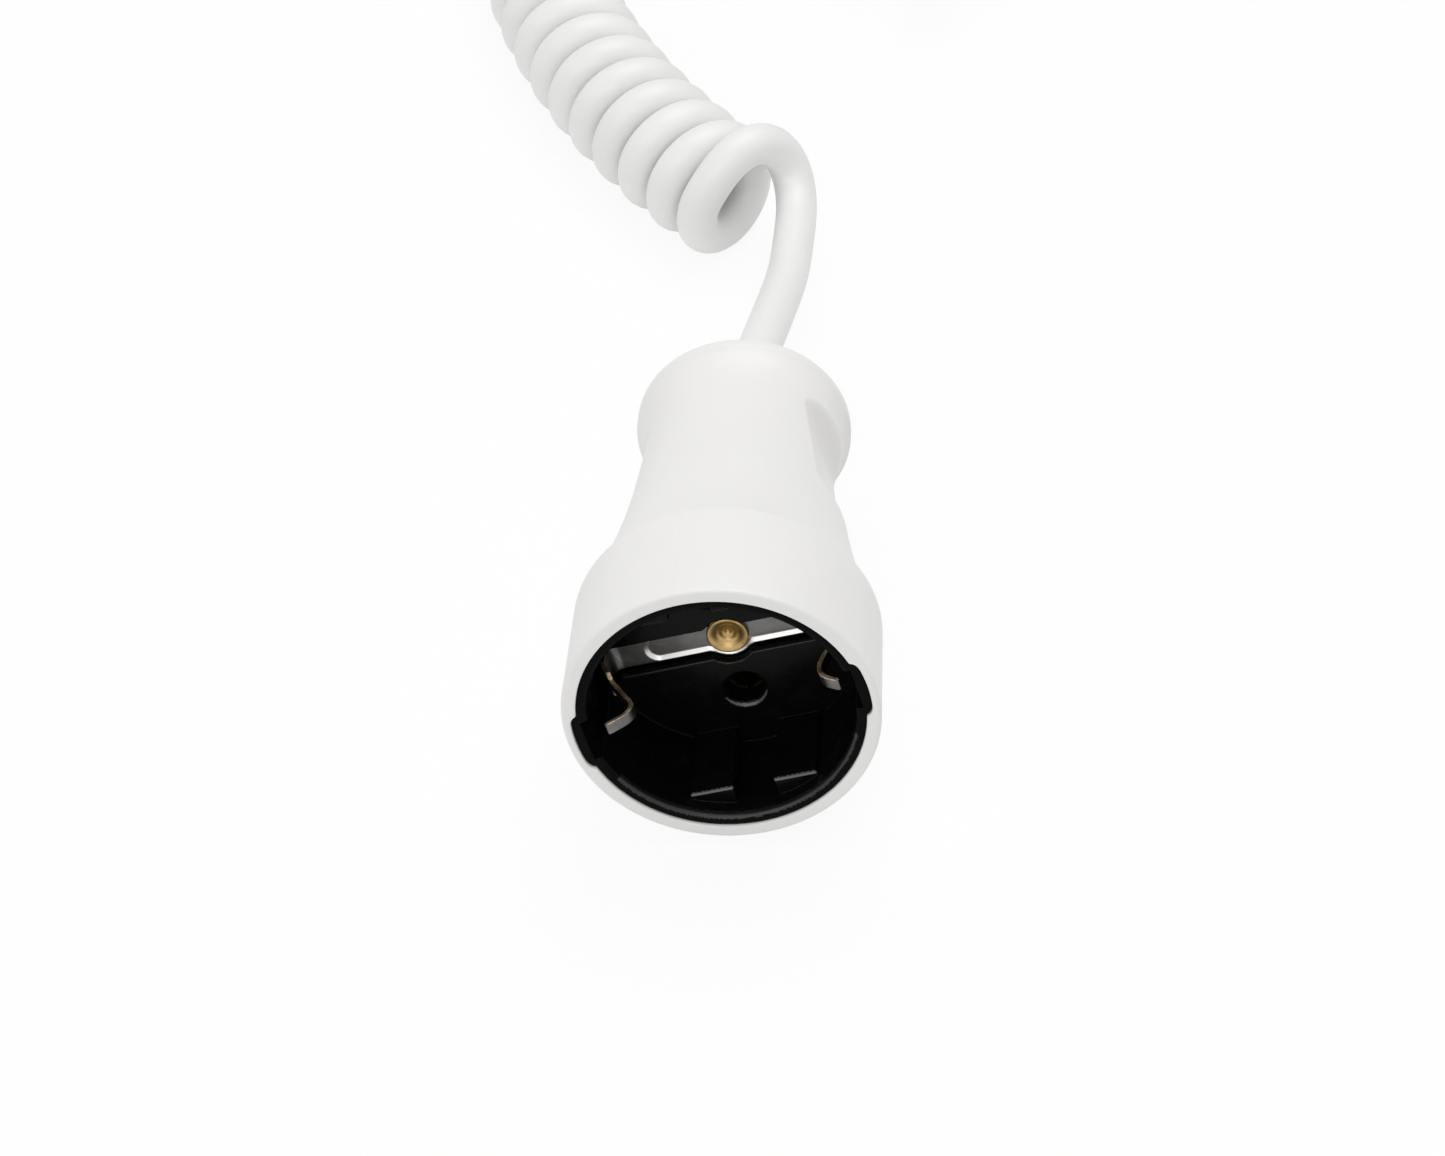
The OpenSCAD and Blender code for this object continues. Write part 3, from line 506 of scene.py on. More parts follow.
def cordLine():
    depths = (*cord["couplingDepths"], cord["exitDepth"])
    start = [inPlace(couplingPlace, (0, 0, z)) / mm for z in depths]
    inWay, outWay = unit(cord["inDirection"]), unit(cord["outDirection"])
    curls = curlPoints(perCurl=36)
    first, last = unit(curls[1] - curls[0]), unit(curls[-1] - curls[-2])
    leadIn = np.array(cord["route"][-1]) + inWay * cord["diameter"]
    leadOut = np.array(cord["outPoint"], float)
    head = smoothThrough([*start, *cord["route"], leadIn], 8)[:-1]
    toCurls = cubic(leadIn, leadIn + inWay * cord["inHandles"][0],
                    curls[0] - first * cord["inHandles"][1], curls[0], 30)
    fromCurls = cubic(curls[-1], curls[-1] + last * cord["outHandles"][0],
                      leadOut - outWay * cord["outHandles"][1], leadOut, 30)
    end = [inPlace(plugPlace, (0, 0, z)) / mm for z in cord["plugDepths"]]
    tail = smoothThrough([leadOut, *end], 8)
    return np.array([*head, *toCurls, *curls[:-1], *fromCurls, *tail]) * mm


def evenly(path, step):
    # the same path with its points evenly spaced, about a step apart
    lengths = np.r_[0, np.cumsum(np.linalg.norm(np.diff(path, axis=0), axis=1))]
    marks = np.linspace(0, lengths[-1], int(lengths[-1] / step) + 1)
    return np.stack([np.interp(marks, lengths, path[:, i]) for i in range(3)], 1)


def tube(path, radius, sides):
    # a closed tube whose rings turn with the path and don't twist round it
    way = np.gradient(path, axis=0)
    way /= np.linalg.norm(way, axis=1)[:, None]
    side = np.cross(way[0], (0.0, 0.0, 1.0))
    rings = []
    angles = turnOf(sides)
    for centre, direction in zip(path, way):
        side = side - direction * (side @ direction)
        side /= np.linalg.norm(side)
        up = np.cross(direction, side)
        out = np.cos(angles)[:, None] * side + np.sin(angles)[:, None] * up
        rings.append(centre + radius * out)
    rings = [np.repeat(path[:1], sides, 0), *rings, np.repeat(path[-1:], sides, 0)]
    return np.concatenate(rings), gridQuads(len(rings), sides)


cordPath = evenly(cordLine(), cord["step"] * mm)
cordMesh = tube(cordPath, cord["diameter"] / 2 * mm, cord["sides"])
curlyCord = pieceFrom("curly_lead", *cordMesh, "white_cord", ["socket_tail", "curly_cord", "plug_tail"])
print("cord ready:", round(float(np.linalg.norm(np.diff(cordPath, axis=0), axis=1).sum()), 3), "m")


def shell(name, place, rings, angles, slotName, replaced):
    # a closed skin from rings of (radius at each angle, depth), the last ring joined to the first
    radii = np.array([np.broadcast_to(r, angles.shape) for r, _ in rings])
    depths = np.array([np.broadcast_to(d, angles.shape) for _, d in rings])
    points = np.stack([radii * np.cos(angles), radii * np.sin(angles), depths], -1).reshape(-1, 3)
    quads = gridQuads(len(rings), len(angles), closed=True)
    pieceFrom(name, inPlace(place, points), quads, slotName, replaced)


def softened(field, times):
    # rounds the edges of a surface given as radii on a grid
    for _ in range(times):
        field = (np.roll(field, 1, 1) + 2 * field + np.roll(field, -1, 1)) / 4
        inner = (field[:-2] + 2 * field[1:-1] + field[2:]) / 4
        field = np.concatenate([field[:1], inner, field[-1:]])
    return field


housing = {
    "mouthRadius": 23.4, "rearRadius": 23.2, "collarLength": 20.3, "rearEdge": 0.35,
    "shoulderRadius": 22.2, "neckRadius": 15.6, "edge": 0.6,
    "flangeRadius": 17.25, "flangeThickness": 2.2, "length": 73,
    "seatRadius": 21.25, "seatDepth": 21.25,
    "earRadius": 22.15, "earRise": 0.9, "earRound": 1.7, "earHalfWidth": 4.95, "earDepth": 16.35,
    "towerRadius": 14.45, "towerDepth": 40.35, "fanRadius": 11.5, "fanDepth": 44,
    "boreRadius": 3.65, "boreDepth": 58, "reliefLength": 14, "reliefRoot": 6.2, "reliefTip": 4.45,
    "gripWaist": 12.9, "gripRise": 2.3, "gripLength": 18, "gripRear": 63.3,
    "seam": 0.05, "seamHalfWidth": 0.1, "seamRadius": 16,
    "fineFrom": 37, "finestFrom": 68.5, "columns": 540,
    # the rounding of the mouth's inner edge, as (distance outwards, depth)
    "innerEdge": [(0, 3.0), (0, 0.35), (0.03, 0.12), (0.12, 0.02), (0.25, 0.0)]}

# for both mouldings: the ends of the finger grips and, where there is no grip, a floor beyond any wall;
# how the body narrows to its neck; and the ribs of the bend relief
grip = {"runIn": 6.5, "turnIn": 2.6, "swell": 0.6, "endRadius": 3, "runOut": 3.8, "none": 99}
body = {"neckLength": 8, "bendInwards": 0.2, "bendAlong": 0.4, "flareLength": 2}
relief = {"ribs": 4, "groove": 0.7, "slope": 0.4, "chamfer": 0.1}


def gripFloor(size, out):
    # distance of the finger grips' floor from the axis, against the depth
    rear, front = size["gripRear"], size["gripRear"] - size["gripLength"]
    high, radius = size["gripWaist"] + size["gripRise"], grip["endRadius"]
    turn = (high + grip["swell"], front - grip["turnIn"])
    side = curve2((out, front - grip["runIn"]), turn, (high, front), 20)
    side += arc((size["gripWaist"] + radius, rear), radius, 180, 90, 14)
    widths, depths = np.array([*side, (out, rear + grip["runOut"])]).T
    return lambda d: np.interp(d, depths, widths, left=grip["none"], right=grip["none"])


def reliefRings(size):
    # the ribbed spout behind the flange
    root, ribs, groove, chamfer = size["length"], relief["ribs"], relief["groove"], relief["chamfer"]
    pitch = size["reliefLength"] / ribs
    rings = []
    for i in range(ribs):
        r = size["reliefRoot"] + (size["reliefTip"] - size["reliefRoot"]) * i / (ribs - 1)
        front, back = root + i * pitch, root + (i + 1) * pitch
        rings += [(r - chamfer / 2, front), (r, front + chamfer)]
        if i == ribs - 1:
            rings += [(r, back - 0.3), (r - 0.1, back - 0.08), (r - 0.3, back)]
        else:
            floor, wall = r - groove, back - groove
            rings += [(r, wall - relief["slope"] - 0.15), (r - 0.08, wall - relief["slope"]),
                      (floor + 0.08, wall), (floor, wall + chamfer), (floor, back - chamfer / 2)]
    return rings


def bodyRings(size, shoulder):
    # shoulder, body, neck and flared flange, as the CAD outline has them
    flare = size["length"] - size["flangeThickness"]
    waist = flare - body["neckLength"]
    start, neck = size["shoulderRadius"], size["neckRadius"]
    middle = (neck + (start - neck) * body["bendInwards"], shoulder + (waist - shoulder) * body["bendAlong"])
    wall = [*curve2((start, shoulder), middle, (neck, waist), 400, end=True), (neck, waist + 1)]
    wall += curve2((neck, waist + 1), (neck, flare - body["flareLength"]), (size["flangeRadius"], flare), 40,
                   end=True)
    radii, depths = np.array(wall).T
    # the rings lie closer together along the grips and on the flange
    fine, finest = size["fineFrom"], size["finestFrom"]
    marks = np.r_[np.arange(shoulder, fine, 1.0), np.arange(fine, finest, 0.25),
                  np.arange(finest, flare, 0.2), flare]
    return [(float(np.interp(d, depths, radii)), float(d)) for d in marks]


def backRings(size):
    # the flange's back, the spout and the bore through it, as far as the room for the cores
    edge, flange, length = size["edge"], size["flangeRadius"], size["length"]
    root, bore = size["reliefRoot"], size["boreRadius"]
    return [(flange, length - edge - 0.8), *arc((flange - edge, length - edge), edge, 0, 90, 7),
            *line((flange - edge - 0.4, length), (root + 0.4, length), 8), (root + 0.15, length + 0.03),
            *reliefRings(size),
            *line((bore, length + size["reliefLength"] - 0.15), (bore, size["boreDepth"]), 6),
            (bore, size["boreDepth"]), (size["fanRadius"], size["fanDepth"])]


def earRadius(size, v):
    # the ears' outer wall, rounded at both ends
    end = np.clip((np.abs(v) - size["earHalfWidth"] + size["earRound"]) / size["earRound"], 0, 1)
    low = size["earRadius"] - size["earRise"]
    wall = low + size["earRise"] * np.sqrt(1 - end * end * 0.98)
    return np.where(np.abs(v) < size["earHalfWidth"], wall, low)


# a ray from the axis meets a flat wall at the wall's distance over the ray's slant, which is kept above 0
leastSlant = 0.02


def housingShell():
    # the white moulding round the insert: collar, body, neck, flange and bend relief
    size, edge, rearEdge = housing, housing["edge"], housing["rearEdge"]
    angles = turnOf(size["columns"])
    across, along = np.abs(np.cos(angles)), np.sin(angles)
    rim = size["mouthRadius"] - edge
    collar = [(rim - 0.35, 0.0), *arc((rim, edge), edge, -90, 0, 7)]
    collar += line(collar[-1], (size["rearRadius"], size["collarLength"] - rearEdge), 14)[1:]
    collar += arc((size["rearRadius"] - rearEdge, size["collarLength"] - rearEdge), rearEdge, 0, 90, 5)
    # the mould's parting line, a fine ridge on both sides
    seam = size["seam"] * np.exp(-(np.cos(angles) * size["seamRadius"] / size["seamHalfWidth"]) ** 2)
    middle = bodyRings(size, size["collarLength"])
    depths = np.array([d for _, d in middle])
    radii = np.array([r for r, _ in middle])[:, None] + seam
    floor = gripFloor(size, size["mouthRadius"] + 1)
    radii = np.minimum(radii, floor(depths)[:, None] / np.maximum(across, leastSlant))
    radii = softened(radii, 2)
    ear = earRadius(size, along * size["seatRadius"])
    inside = [(size["fanRadius"], size["towerDepth"]), (size["towerRadius"], size["towerDepth"]),
              (size["towerRadius"], size["seatDepth"]), (size["seatRadius"], size["seatDepth"]),
              (size["seatRadius"], size["earDepth"]), (ear, size["earDepth"])]
    inside += [(ear + out, d) for out, d in size["innerEdge"]]
    ridge = [(r + seam, d) for r, d in collar]
    rings = [*ridge, *zip(radii, depths), *backRings(size), *inside]
    shell("coupling_shell", couplingPlace, rings, angles, "white_pvc", ["socket_housing"])


housingShell()
print("housing ready")


def roundMax(a, b, radius):
    # the overlap of two solids given as distances, its outer edge rounded
    corner = np.hypot(np.maximum(a + radius, 0), np.maximum(b + radius, 0))
    return np.minimum(np.maximum(a, b), -radius) + corner


def roundMin(a, b, radius):
    # two solids in one, the corner between them filled
    return -roundMax(-a, -b, radius)


def slab(d, front, back):
    return np.maximum(front - d, d - back)


def crossedCells(inside):
    # the cells that the surface passes through, and a grid that holds each one's number
    width, height, depth = (n - 1 for n in inside.shape)
    filled = sum(inside[i:i + width, j:j + height, k:k + depth].astype(np.int8)
                 for i in (0, 1) for j in (0, 1) for k in (0, 1))
    cells = np.argwhere((filled > 0) & (filled < 8))
    number = np.full(filled.shape, -1, np.int32)
    number[tuple(cells.T)] = np.arange(len(cells))
    return cells, number


def cellPoints(grid, field, cells):
    # for each cell, the middle of the places where the surface crosses its sides
    total, count = np.zeros((len(cells), 3)), np.zeros(len(cells))
    for axis in range(3):
        for i in (0, 1):
            for j in (0, 1):
                low = cells + np.insert([i, j], axis, 0)
                high = low + np.eye(3, dtype=int)[axis]
                a, b = field[tuple(low.T)], field[tuple(high.T)]
                crossed = (a < 0) != (b < 0)
                share = np.where(crossed, a / np.where(crossed, a - b, 1), 0)
                lowAt = np.stack([grid[n][low[:, n]] for n in range(3)], 1)
                highAt = np.stack([grid[n][high[:, n]] for n in range(3)], 1)
                total += crossed[:, None] * (lowAt + (highAt - lowAt) * share[:, None])
                count += crossed
    return total / count[:, None]


def settled(distance, points):
    # the points moved onto the surface, a short way at a time, and the surface's normals there
    step, farthest, rounds = 0.01, 0.06, 3

    def slope(p):
        return np.stack([(distance(*(p + step * e).T) - distance(*(p - step * e).T)) / (2 * step)
                         for e in np.eye(3)], 1)

    for _ in range(rounds):
        g = slope(points)
        move = (distance(*points.T) / np.maximum((g * g).sum(1), 0.2))[:, None] * g
        points = points - np.clip(move, -farthest, farthest)
    normals = slope(points)
    return points, normals / np.maximum(np.linalg.norm(normals, axis=1), 1e-6)[:, None]


def surfaceQuads(inside, number):
    # a quad round each grid line that the surface crosses, through the four cells beside it
    quads = []
    for axis in range(3):
        u, v = [n for n in range(3) if n != axis]
        low = np.take(inside, range(inside.shape[axis] - 1), axis)
        high = np.take(inside, range(1, inside.shape[axis]), axis)
        edges = np.argwhere(low != high)
        within = (edges > 0) & (edges < number.shape)
        edges = edges[within[:, u] & within[:, v]]
        du, dv = np.eye(3, dtype=int)[u], np.eye(3, dtype=int)[v]
        ring = [number[tuple((edges - x * du - y * dv).T)] for x, y in ((1, 1), (0, 1), (0, 0), (1, 0))]
        ring = np.stack(ring, 1)
        outward = low[tuple(edges.T)] == (axis != 1)
        quads.append(np.where(outward[:, None], ring, ring[:, ::-1]))
    return np.concatenate(quads)


def solidMesh(distance, xs, ys, zs):
    # a mesh of the surface on which the distance is 0, found on a grid and then moved onto it
    grid = [np.array(a, float) for a in (xs, ys, zs)]
    field = distance(grid[0][:, None, None], grid[1][None, :, None], grid[2][None, None, :])
    field = np.ascontiguousarray(np.broadcast_to(field, [len(a) for a in grid]))
    cells, number = crossedCells(field < 0)
    points, normals = settled(distance, cellPoints(grid, field, cells))
    return points, surfaceQuads(field < 0, number), normals


def modelled(name, place, distance, xs, ys, zs, slotName, replaced):
    # a piece whose solid is given as a distance, negative inside
    points, quads, normals = solidMesh(distance, xs, ys, zs)
    return pieceFrom(name, inPlace(place, points), quads, slotName, replaced, normals @ place[1])


insert = {
    "radius": 21.2, "back": 21.2, "recess": 19.6, "depth": 17.5, "lip": 0.8, "edge": 0.25, "fillet": 0.08,
    "earRadius": 22.1, "earRise": 0.9, "earRound": 1.7, "earHalfWidth": 4.9, "earBack": 16.3,
    "earFillet": 0.1, "tower": 14.4, "towerInBody": 1, "towerBack": 38.5,
    "guideFlat": 16.3, "guideHalfWidth": 9.8, "groove": 3.15, "guideFront": 3.5,
    "guideInWall": 0.8, "guideInFloor": 1,
    "wellHalfWidth": 3.6, "wellFront": 17.6, "wellWall": 20.5, "troughBack": 20.5, "troughHalfWidth": 2.8,
    "bossGap": 4.05, "pinPlace": 9.5, "holeRadius": 2.8, "holeEdge": 0.15, "countersink": 0.6,
    "contactRadius": 3.1, "contactFront": 21.2, "earthWell": 4.7, "earthWellFront": 23.0,
    # how far each cut runs past the face that it opens
    "beyond": 2}


def insertBody(v, d, r):
    # the round body with its ears, its recess and the tower behind it
    s, edge = insert, insert["edge"]
    rim = roundMax(r - s["radius"], slab(d, insertFront, s["back"]), edge)
    ear = roundMax(r - earRadius(s, v), np.abs(v) - s["earHalfWidth"], edge)
    ear = roundMax(ear, slab(d, insertFront, s["earBack"]), edge)
    tower = roundMax(r - s["tower"], slab(d, s["back"] - s["towerInBody"], s["towerBack"]), edge)
    solid = np.minimum(roundMin(rim, ear, s["earFillet"]), tower)
    recess = -roundMin(s["recess"] - r, s["depth"] - d, s["fillet"])
    return roundMax(solid, -recess, s["lip"])


def guideBlocks(u, v, d, r):
    # the blocks on both sides of the recess that guide a plug by its flats
    s, edge = insert, insert["edge"]
    middle, half = (s["guideHalfWidth"] + s["groove"]) / 2, (s["guideHalfWidth"] - s["groove"]) / 2
    block = roundMax(s["guideFlat"] - np.abs(v), np.abs(np.abs(u) - middle) - half, edge)
    block = roundMax(block, s["guideFront"] - d, edge)
    block = np.maximum(block, r - s["recess"] - s["guideInWall"])
    return np.maximum(block, d - s["depth"] - s["guideInFloor"])


def insertDistance(u, v, d):
    # the whole insert: u runs towards a clip, v towards the line pin and d into the depth
    s, edge, beyond = insert, insert["edge"], insert["beyond"]
    r = np.hypot(u, v)
    acrossClips, acrossPins = np.abs(u), np.abs(v)
    solid = roundMin(insertBody(v, d, r), guideBlocks(u, v, d, r), s["fillet"])
    well = np.maximum(acrossPins - s["wellHalfWidth"], slab(acrossClips, s["wellFront"], s["wellWall"]))
    solid = roundMax(solid, -np.maximum(well, d - s["troughBack"]), edge)
    trough = np.maximum(acrossPins - s["troughHalfWidth"], acrossClips - s["recess"])
    trough = np.minimum(trough, r - s["bossGap"])
    solid = roundMax(solid, -np.maximum(trough, slab(d, s["depth"] - beyond, s["troughBack"])), edge)
    hole = np.hypot(u, acrossPins - s["pinPlace"])
    funnel = np.maximum(s["depth"] + s["countersink"] - d, 0)
    bore = np.maximum(hole - s["holeRadius"] - funnel, slab(d, s["depth"] - beyond, s["back"] + beyond))
    contact = np.maximum(hole - s["contactRadius"], slab(d, s["contactFront"], s["towerBack"] + beyond))
    solid = roundMax(solid, -np.minimum(bore, contact), s["holeEdge"])
    earth = np.maximum(r - s["earthWell"], slab(d, s["earthWellFront"], s["towerBack"] + beyond))
    return np.maximum(solid, -earth)


# the grid is fine where the insert has edges, and coarse between them
flat = np.arange(-22.6, 22.61, 0.24)
layers = np.r_[np.arange(-0.1, 4.6, 0.2), np.arange(4.9, 16.2, 0.75), np.arange(16.2, 21.8, 0.2),
               np.arange(22.2, 38, 1.2), np.arange(38.2, 39, 0.2)]
insertPiece = modelled("socket_insert_moulding", couplingPlace, insertDistance, flat, flat, layers,
                       "black_thermoset", ["socket_insert"])


def finishParts(piece, *parts):
    # gives the faces that a test picks a finish of their own; the last test that picks a face counts
    mesh = piece.data
    middles, normals = (np.empty(3 * len(mesh.polygons), np.float32) for _ in range(2))
    mesh.polygons.foreach_get("center", middles)
    mesh.polygons.foreach_get("normal", normals)
    u, v, d = ((middles.reshape(-1, 3) - couplingPlace[0]) @ couplingPlace[1].T / mm).T
    nu, nv, nd = (normals.reshape(-1, 3) @ couplingPlace[1].T).T
    faces = SimpleNamespace(u=u, v=v, d=d, nu=nu, nv=nv, nd=nd)
    chosen = np.zeros(len(mesh.polygons), np.int32)
    for number, (finish, test) in enumerate(parts, 1):
        mesh.materials.append(finish)
        chosen[test(faces)] = number
    mesh.polygons.foreach_set("material_index", chosen)


# painted shade: the mouth's face, which takes the darker, duller black
def onFace(f):
    return (f.nd < -0.6) & (f.d < 1)


# painted highlight: the lower side of the mouth's inner lip
def onLip(f):
    inward = -(f.u * f.nu + f.v * f.nv) / np.hypot(f.u, f.v)
    return (inward > 0.35) & (f.d < 1.5) & (f.v > 8)


# painted glint: the front edges of the lower guide blocks
def onGuideEdge(f):
    nearEdge = (np.abs(f.v - insert["guideFlat"]) < 0.45) & (np.abs(f.d - insert["guideFront"]) < 0.4)
    return nearEdge & (np.abs(f.u) < insert["guideHalfWidth"])


def onHoleEdge(f):
    # a painted highlight: a crescent on the lower side of the pin's hole
    below, outer = f.v - insert["pinPlace"], insert["holeRadius"] + insert["countersink"]
    crescent = (np.hypot(f.u, below) < outer) & (np.hypot(f.u, below + 0.4) > outer)
    return crescent & (np.abs(f.d - insert["depth"]) < 0.6) & (below > 1)


# painted highlight: the lower edges of the trough and round the boss
def onTroughEdge(f):
    alongTrough = np.abs(f.v - insert["troughHalfWidth"]) < 0.2
    roundBoss = np.abs(np.hypot(f.u, f.v) - insert["bossGap"]) < 0.2
    return (alongTrough | roundBoss) & (np.abs(f.d - insert["depth"]) < 0.25) & (f.v > 0)


# painted shade on the mouth's face, and painted highlights and glints on the lower lip, trough edges, guide
# edges and hole
finishParts(insertPiece, (shadedFaceBlack, onFace), (paintedHighlightBlack, onLip), (paintedHighlightBlack, onTroughEdge),
            (paintedGlintFinish, onGuideEdge), (paintedGlintFinish, onHoleEdge))
print("insert ready")


bracket = {
    "halfWidth": 2.4, "thickness": 0.7, "front": 19.1, "leg": 18.75, "bend": 2.0, "edge": 0.1,
    "bossRadius": 3.9, "bossFillet": 0.8, "rivetHole": 2.4,
    "panelDepth": 0.45, "panelHalfLength": 12.9, "panelHalfWidth": 2.15, "panelBoss": 3.5,
    "panelFillet": 0.6, "slope": 0.7, "slopeStart": 0.2,
    "shoulder": 12.6, "clipHalfWidth": 0.95, "clipFillet": 0.4,
    "lean": 0.5, "leanDepth": 5.5, "leanSpread": 2.5,
    # the spring clip's middle line as (distance from the axis, depth), from its root to its lip
    "clip": [(18.75, 15.4), (18.3, 14.1), (17.35, 12.2), (16.3, 10.3), (15.3, 8.4), (14.62, 6.9),
             (14.4, 5.7), (14.75, 4.6), (15.5, 3.75), (16.5, 3.05), (17.5, 2.5)]}


def bracketLine():
    # one side, from under the rivet to the clip's lip, as (distance from the axis, depth)
    s = bracket
    middle = s["front"] + s["thickness"] / 2
    corner = arc((s["leg"] - s["bend"], middle - s["bend"]), s["bend"], 90, 0, 8)
    return np.array([(0, middle), *corner, *smoothThrough(s["clip"], 4)])


bracketRoute = bracketLine()


def toLine(x, y, route):
    # distance from points to a run of straight stretches
    best = None
    for (ax, ay), (bx, by) in zip(route, route[1:]):
        dx, dy = bx - ax, by - ay
        t = np.clip(((x - ax) * dx + (y - ay) * dy) / (dx * dx + dy * dy), 0, 1)
        gap = (x - ax - t * dx) ** 2 + (y - ay - t * dy) ** 2
        best = gap if best is None else np.minimum(best, gap)
    return np.sqrt(best)


def pressed(u, v):
    # how far the panel is pressed in, and how steep its bevel is there
    s = bracket
    ends = np.maximum(np.abs(u) - s["panelHalfLength"] + s["panelHalfWidth"], 0)
    strip, boss = np.hypot(ends, v) - s["panelHalfWidth"], np.hypot(u, v) - s["panelBoss"]
    panel = roundMin(strip, boss, s["panelFillet"])
    down = np.clip(-panel / s["slope"] + s["slopeStart"], 0, 1)
    return s["panelDepth"] * down, down * (1 - down)


def bracketDistance(u, v, d):
    # the strip with its bent ends, joined to the flat plate and its boss under the rivet
    s = bracket
    acrossStrip = np.abs(v)
    d = d - pressed(u, v)[0]
    # both clips are bent a little to the same side
    leaning = u - s["lean"] * np.exp(-((d - s["leanDepth"]) / s["leanSpread"]) ** 2)
    sheet = toLine(np.abs(leaning), d, bracketRoute) - s["thickness"] / 2
    leg = roundMax(acrossStrip - s["halfWidth"], s["shoulder"] - d, s["clipFillet"])
    strip = roundMax(sheet, roundMin(acrossStrip - s["clipHalfWidth"], leg, s["clipFillet"]), s["edge"])
    outline = roundMin(acrossStrip - s["halfWidth"], np.hypot(u, v) - s["bossRadius"], s["bossFillet"])
    plate = roundMax(np.maximum(outline, np.abs(u) - s["leg"] + s["bend"]),
                     slab(d, s["front"], s["front"] + s["thickness"]), s["edge"])
    return roundMax(np.minimum(strip, plate), s["rivetHole"] - np.hypot(u, v), s["edge"])


bracketPiece = modelled(
    "earth_strip_and_clips", couplingPlace, bracketDistance, np.arange(-20.2, 20.3, 0.16),
    np.arange(-4.2, 4.25, 0.16), np.arange(0.9, 21, 0.16), "nickel_plate", ["earth_bracket"])


def onCutEdge(f):
    # the sides of the clips, and the shoulders where they leave the strip
    side = (np.abs(f.nv) > 0.75) & (f.d < bracket["shoulder"] + 3)
    onShoulder = (np.abs(f.v) > bracket["clipHalfWidth"]) & (np.abs(f.d - bracket["shoulder"]) < 0.6)
    return side | (f.nd < -0.75) & onShoulder


def onBevel(f):
    return (pressed(f.u, f.v)[1] > 0.06) & (f.nd < 0) & (f.d > bracket["front"] - 1)


finishParts(bracketPiece, (cutEdge, onCutEdge), (paintedBevelHighlight, onBevel))
print("bracket ready")


def turned(name, place, profile, sides, slotName, replaced):
    # a solid turned from (radius, depth) points, from its tip to its other end
    angles = turnOf(sides)
    rings = [np.stack([r * np.cos(angles), r * np.sin(angles), np.full(sides, d)], 1) for r, d in profile]
    points = inPlace(place, np.concatenate(rings))
    pieceFrom(name, points, gridQuads(len(rings), sides), slotName, replaced)


rivet = {
    "seat": 19.5, "sides": 72,
    # (radius, depth below the seat), from the pit in the head's middle to its rim, then down the shank
    "head": [(0, 0.95), (0.08, 0.9), (0.5, 0.5), (0.6, 0.45), (0.85, 0.44), (0.95, 0.38), (1.2, 0.14),
             (1.32, 0.05), (1.6, 0), (1.75, -0.08), (2.1, -0.35), (2.3, -0.47), (2.5, -0.56), (2.8, -0.64),
             (2.95, -0.65), (3.08, -0.61), (3.17, -0.52), (3.2, -0.4), (3.2, 0.25)],
    "shank": [(1.5, 0.25), (1.5, 4.45), (2.2, 4.45), (1.9, 5.15), (0, 5.15)]}
rivetProfile = [(r, rivet["seat"] + d) for r, d in rivet["head"] + rivet["shank"]]
turned("earth_strip_rivet", couplingPlace, rivetProfile, rivet["sides"], "brass", ["earth_rivet"])
print("rivet ready")


plug = {
    "shoulderRadius": 18.5, "headLength": 17.2, "edge": 0.6,
    "flat": 15.9, "flatBack": 16.7, "keyHalfWidth": 2.75,
    "slotFloor": 15.75, "slotHalfWidth": 2.45, "slotFlare": 1.18, "slotBack": 15.75,
    "neckRadius": 13.2, "flangeRadius": 15, "flangeThickness": 2.2, "length": 51,
    "gripWaist": 10.4, "gripRise": 1.5, "gripLength": 10, "gripRear": 42.8,
    "bridgeRadius": 14.65, "bridgeBack": 15.05, "fanRadius": 11.5, "fanDepth": 21.5,
    "boreRadius": 3.65, "boreDepth": 34, "reliefLength": 14, "reliefRoot": 6.2, "reliefTip": 4.45,
    "fineFrom": 24, "finestFrom": 48.5, "columns": 540}


def plugShell():
    # the white moulding round the bridge: head, body, neck, flange and bend relief
    s, edge = plug, plug["edge"]
    angles = turnOf(s["columns"])
    across, along = np.abs(np.cos(angles)), np.abs(np.sin(angles))
    head = arc((s["shoulderRadius"] - edge, edge), edge, -90, 0, 7)
    head += [(s["shoulderRadius"], d) for d in [*np.arange(1, s["headLength"], 0.3), s["headLength"]]]
    outer = head + bodyRings(s, s["headLength"] + 0.05)
    depths = np.array([d for _, d in outer])
    radii = np.array([r for r, _ in outer])[:, None]
    # the head's two flats, each with a key left standing in its middle
    flat = s["flat"] / np.maximum(along, leastSlant)
    key = s["keyHalfWidth"] / np.maximum(across, 0.001)
    cut = np.where(flat * across < s["keyHalfWidth"], key, flat)
    radii = np.where((depths < s["flatBack"])[:, None], np.minimum(radii, cut), radii)
    # the slots for the earth strip, one in each side
    floor = s["slotFloor"] / np.maximum(across, leastSlant)
    inSlot = along * s["slotFloor"] < s["slotHalfWidth"] * across * s["slotFlare"]
    radii = np.where(inSlot & (depths < s["slotBack"])[:, None], np.minimum(radii, floor), radii)
    grips = gripFloor(s, s["shoulderRadius"] + 1)(depths)[:, None] / np.maximum(across, leastSlant)
    radii = softened(np.minimum(radii, grips), 1)
    inside = [(s["fanRadius"], s["bridgeBack"]), (s["bridgeRadius"], s["bridgeBack"]),
              (s["bridgeRadius"], 0.25), (s["bridgeRadius"] + 0.1, 0.05), (s["bridgeRadius"] + 0.3, 0.0)]
    rings = [*zip(radii, depths), *backRings(s), *inside]
    shell("plug_shell", plugPlace, rings, angles, "white_pvc", ["plug_housing"])


plugShell()
print("plug ready")

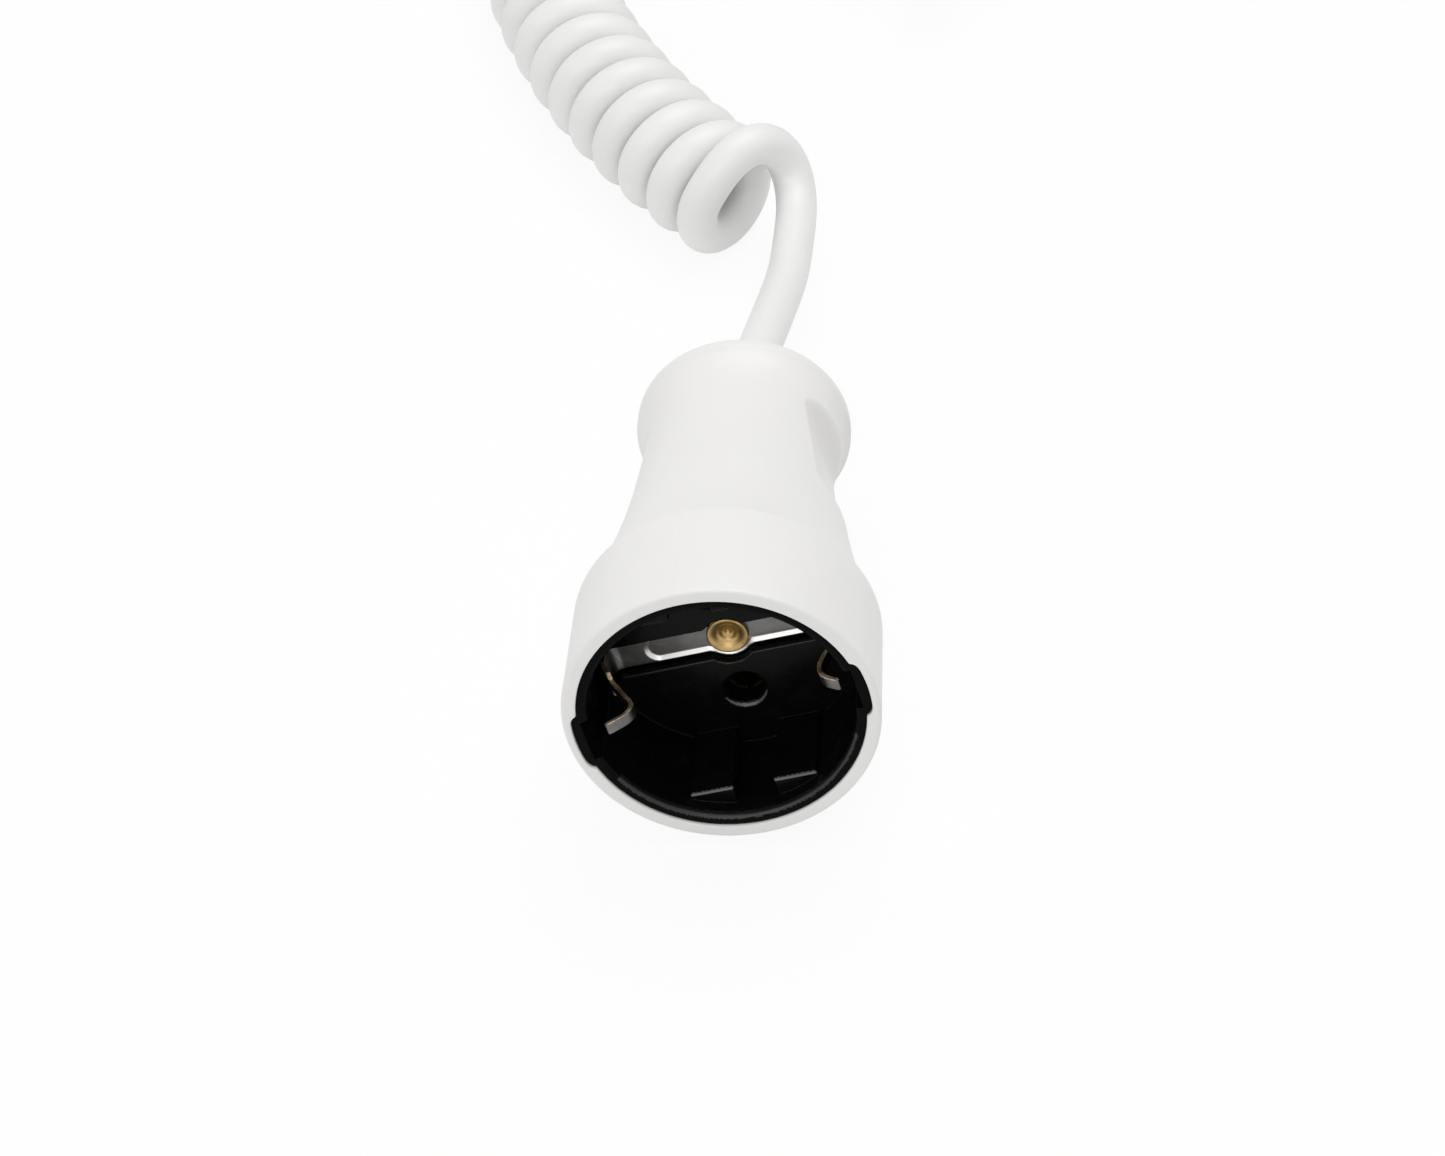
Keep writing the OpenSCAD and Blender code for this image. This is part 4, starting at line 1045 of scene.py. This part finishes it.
# the CAD pieces that show as they are take their slot's finish, apart from these
nodeFinishes = {
    "line_contact": shadedBoreFinish, "neutral_contact": shadedBoreFinish,
    "line_pin": lighterPlate, "neutral_pin": lighterPlate, "plug_earth_strip": lighterPlate}
for part in frame["record"]["subparts"]:
    node = frame["nodes"][part["node"]]
    node.data.materials.clear()
    node.data.materials.append(nodeFinishes.get(part["node"], finishes[part["material_slot"]]))

inPlace(couplingPlace, (0, 0, cord["exitDepth"]))


# the studio's lengths are in metres
studio = {
    "floor": (0.93, 0.93, 0.93), "floorHalf": 6.0, "shadowShare": 0.1, "world": 0.5,
    "lamps": [{"name": "overhead", "at": (0.10, 0.25, 0.95), "size": 0.9, "power": 4.5},
              {"name": "front_left", "at": (-0.75, -0.65, 0.75), "size": 0.6, "power": 1.5},
              {"name": "front", "at": (-0.15, -0.9, 0.8), "size": 0.7, "power": 1.8}],
    "aim": (0.0, 0.02, 0.02)}


def studioFloor():
    # white where it is looked at, with a share of its own shading left for the shadows
    finish = Finish("studio_floor", Base_Color=studio["floor"], Roughness=0.9, Specular_IOR_Level=0.0)
    glow = finish.node("Emission", Color=(1.0, 1.0, 1.0), Strength=1.0)
    share = finish.seenDirectly() * (1 - studio["shadowShare"])
    lit = Wire(finish.tree, finish.shader.outputs[0])
    surface = finish.node("MixShader", numbered={0: share, 1: lit, 2: glow})
    feed(finish.tree, finish.tree.nodes["Material Output"].inputs[0], surface)
    mesh = bpy.data.meshes.new("studio_floor")
    half = studio["floorHalf"]
    corners = [(-half, -half, 0), (half, -half, 0), (half, half, 0), (-half, half, 0)]
    mesh.from_pydata(corners, [], [(0, 1, 2, 3)])
    mesh.materials.append(finish.material)
    floor = bpy.data.objects.new("studio_floor", mesh)
    bpy.context.collection.objects.link(floor)


def studioWorld():
    # plain white where it is looked at, and dimmer as a light
    world = bpy.data.worlds.new("studio")
    bpy.context.scene.world = world
    world.use_nodes = True
    nodes = Nodes(world.node_tree)
    background = nodes.tree.nodes["Background"]
    feed(nodes.tree, background.inputs["Color"], (1.0, 1.0, 1.0))
    strength = nodes.seenDirectly() * (1 - studio["world"]) + studio["world"]
    feed(nodes.tree, background.inputs["Strength"], strength)


def studioLamps():
    for lamp in studio["lamps"]:
        data = bpy.data.lights.new(lamp["name"], "AREA")
        data.shape = "DISK"
        data.size = lamp["size"]
        data.energy = lamp["power"]
        placed = bpy.data.objects.new(lamp["name"], data)
        bpy.context.collection.objects.link(placed)
        placed.location = lamp["at"]
        aim = Vector(lamp["at"]) - Vector(studio["aim"])
        placed.rotation_euler = aim.to_track_quat("Z", "Y").to_euler()


studioFloor()
studioWorld()
studioLamps()
bpy.context.scene.view_settings.view_transform = "Standard"
print("studio ready")
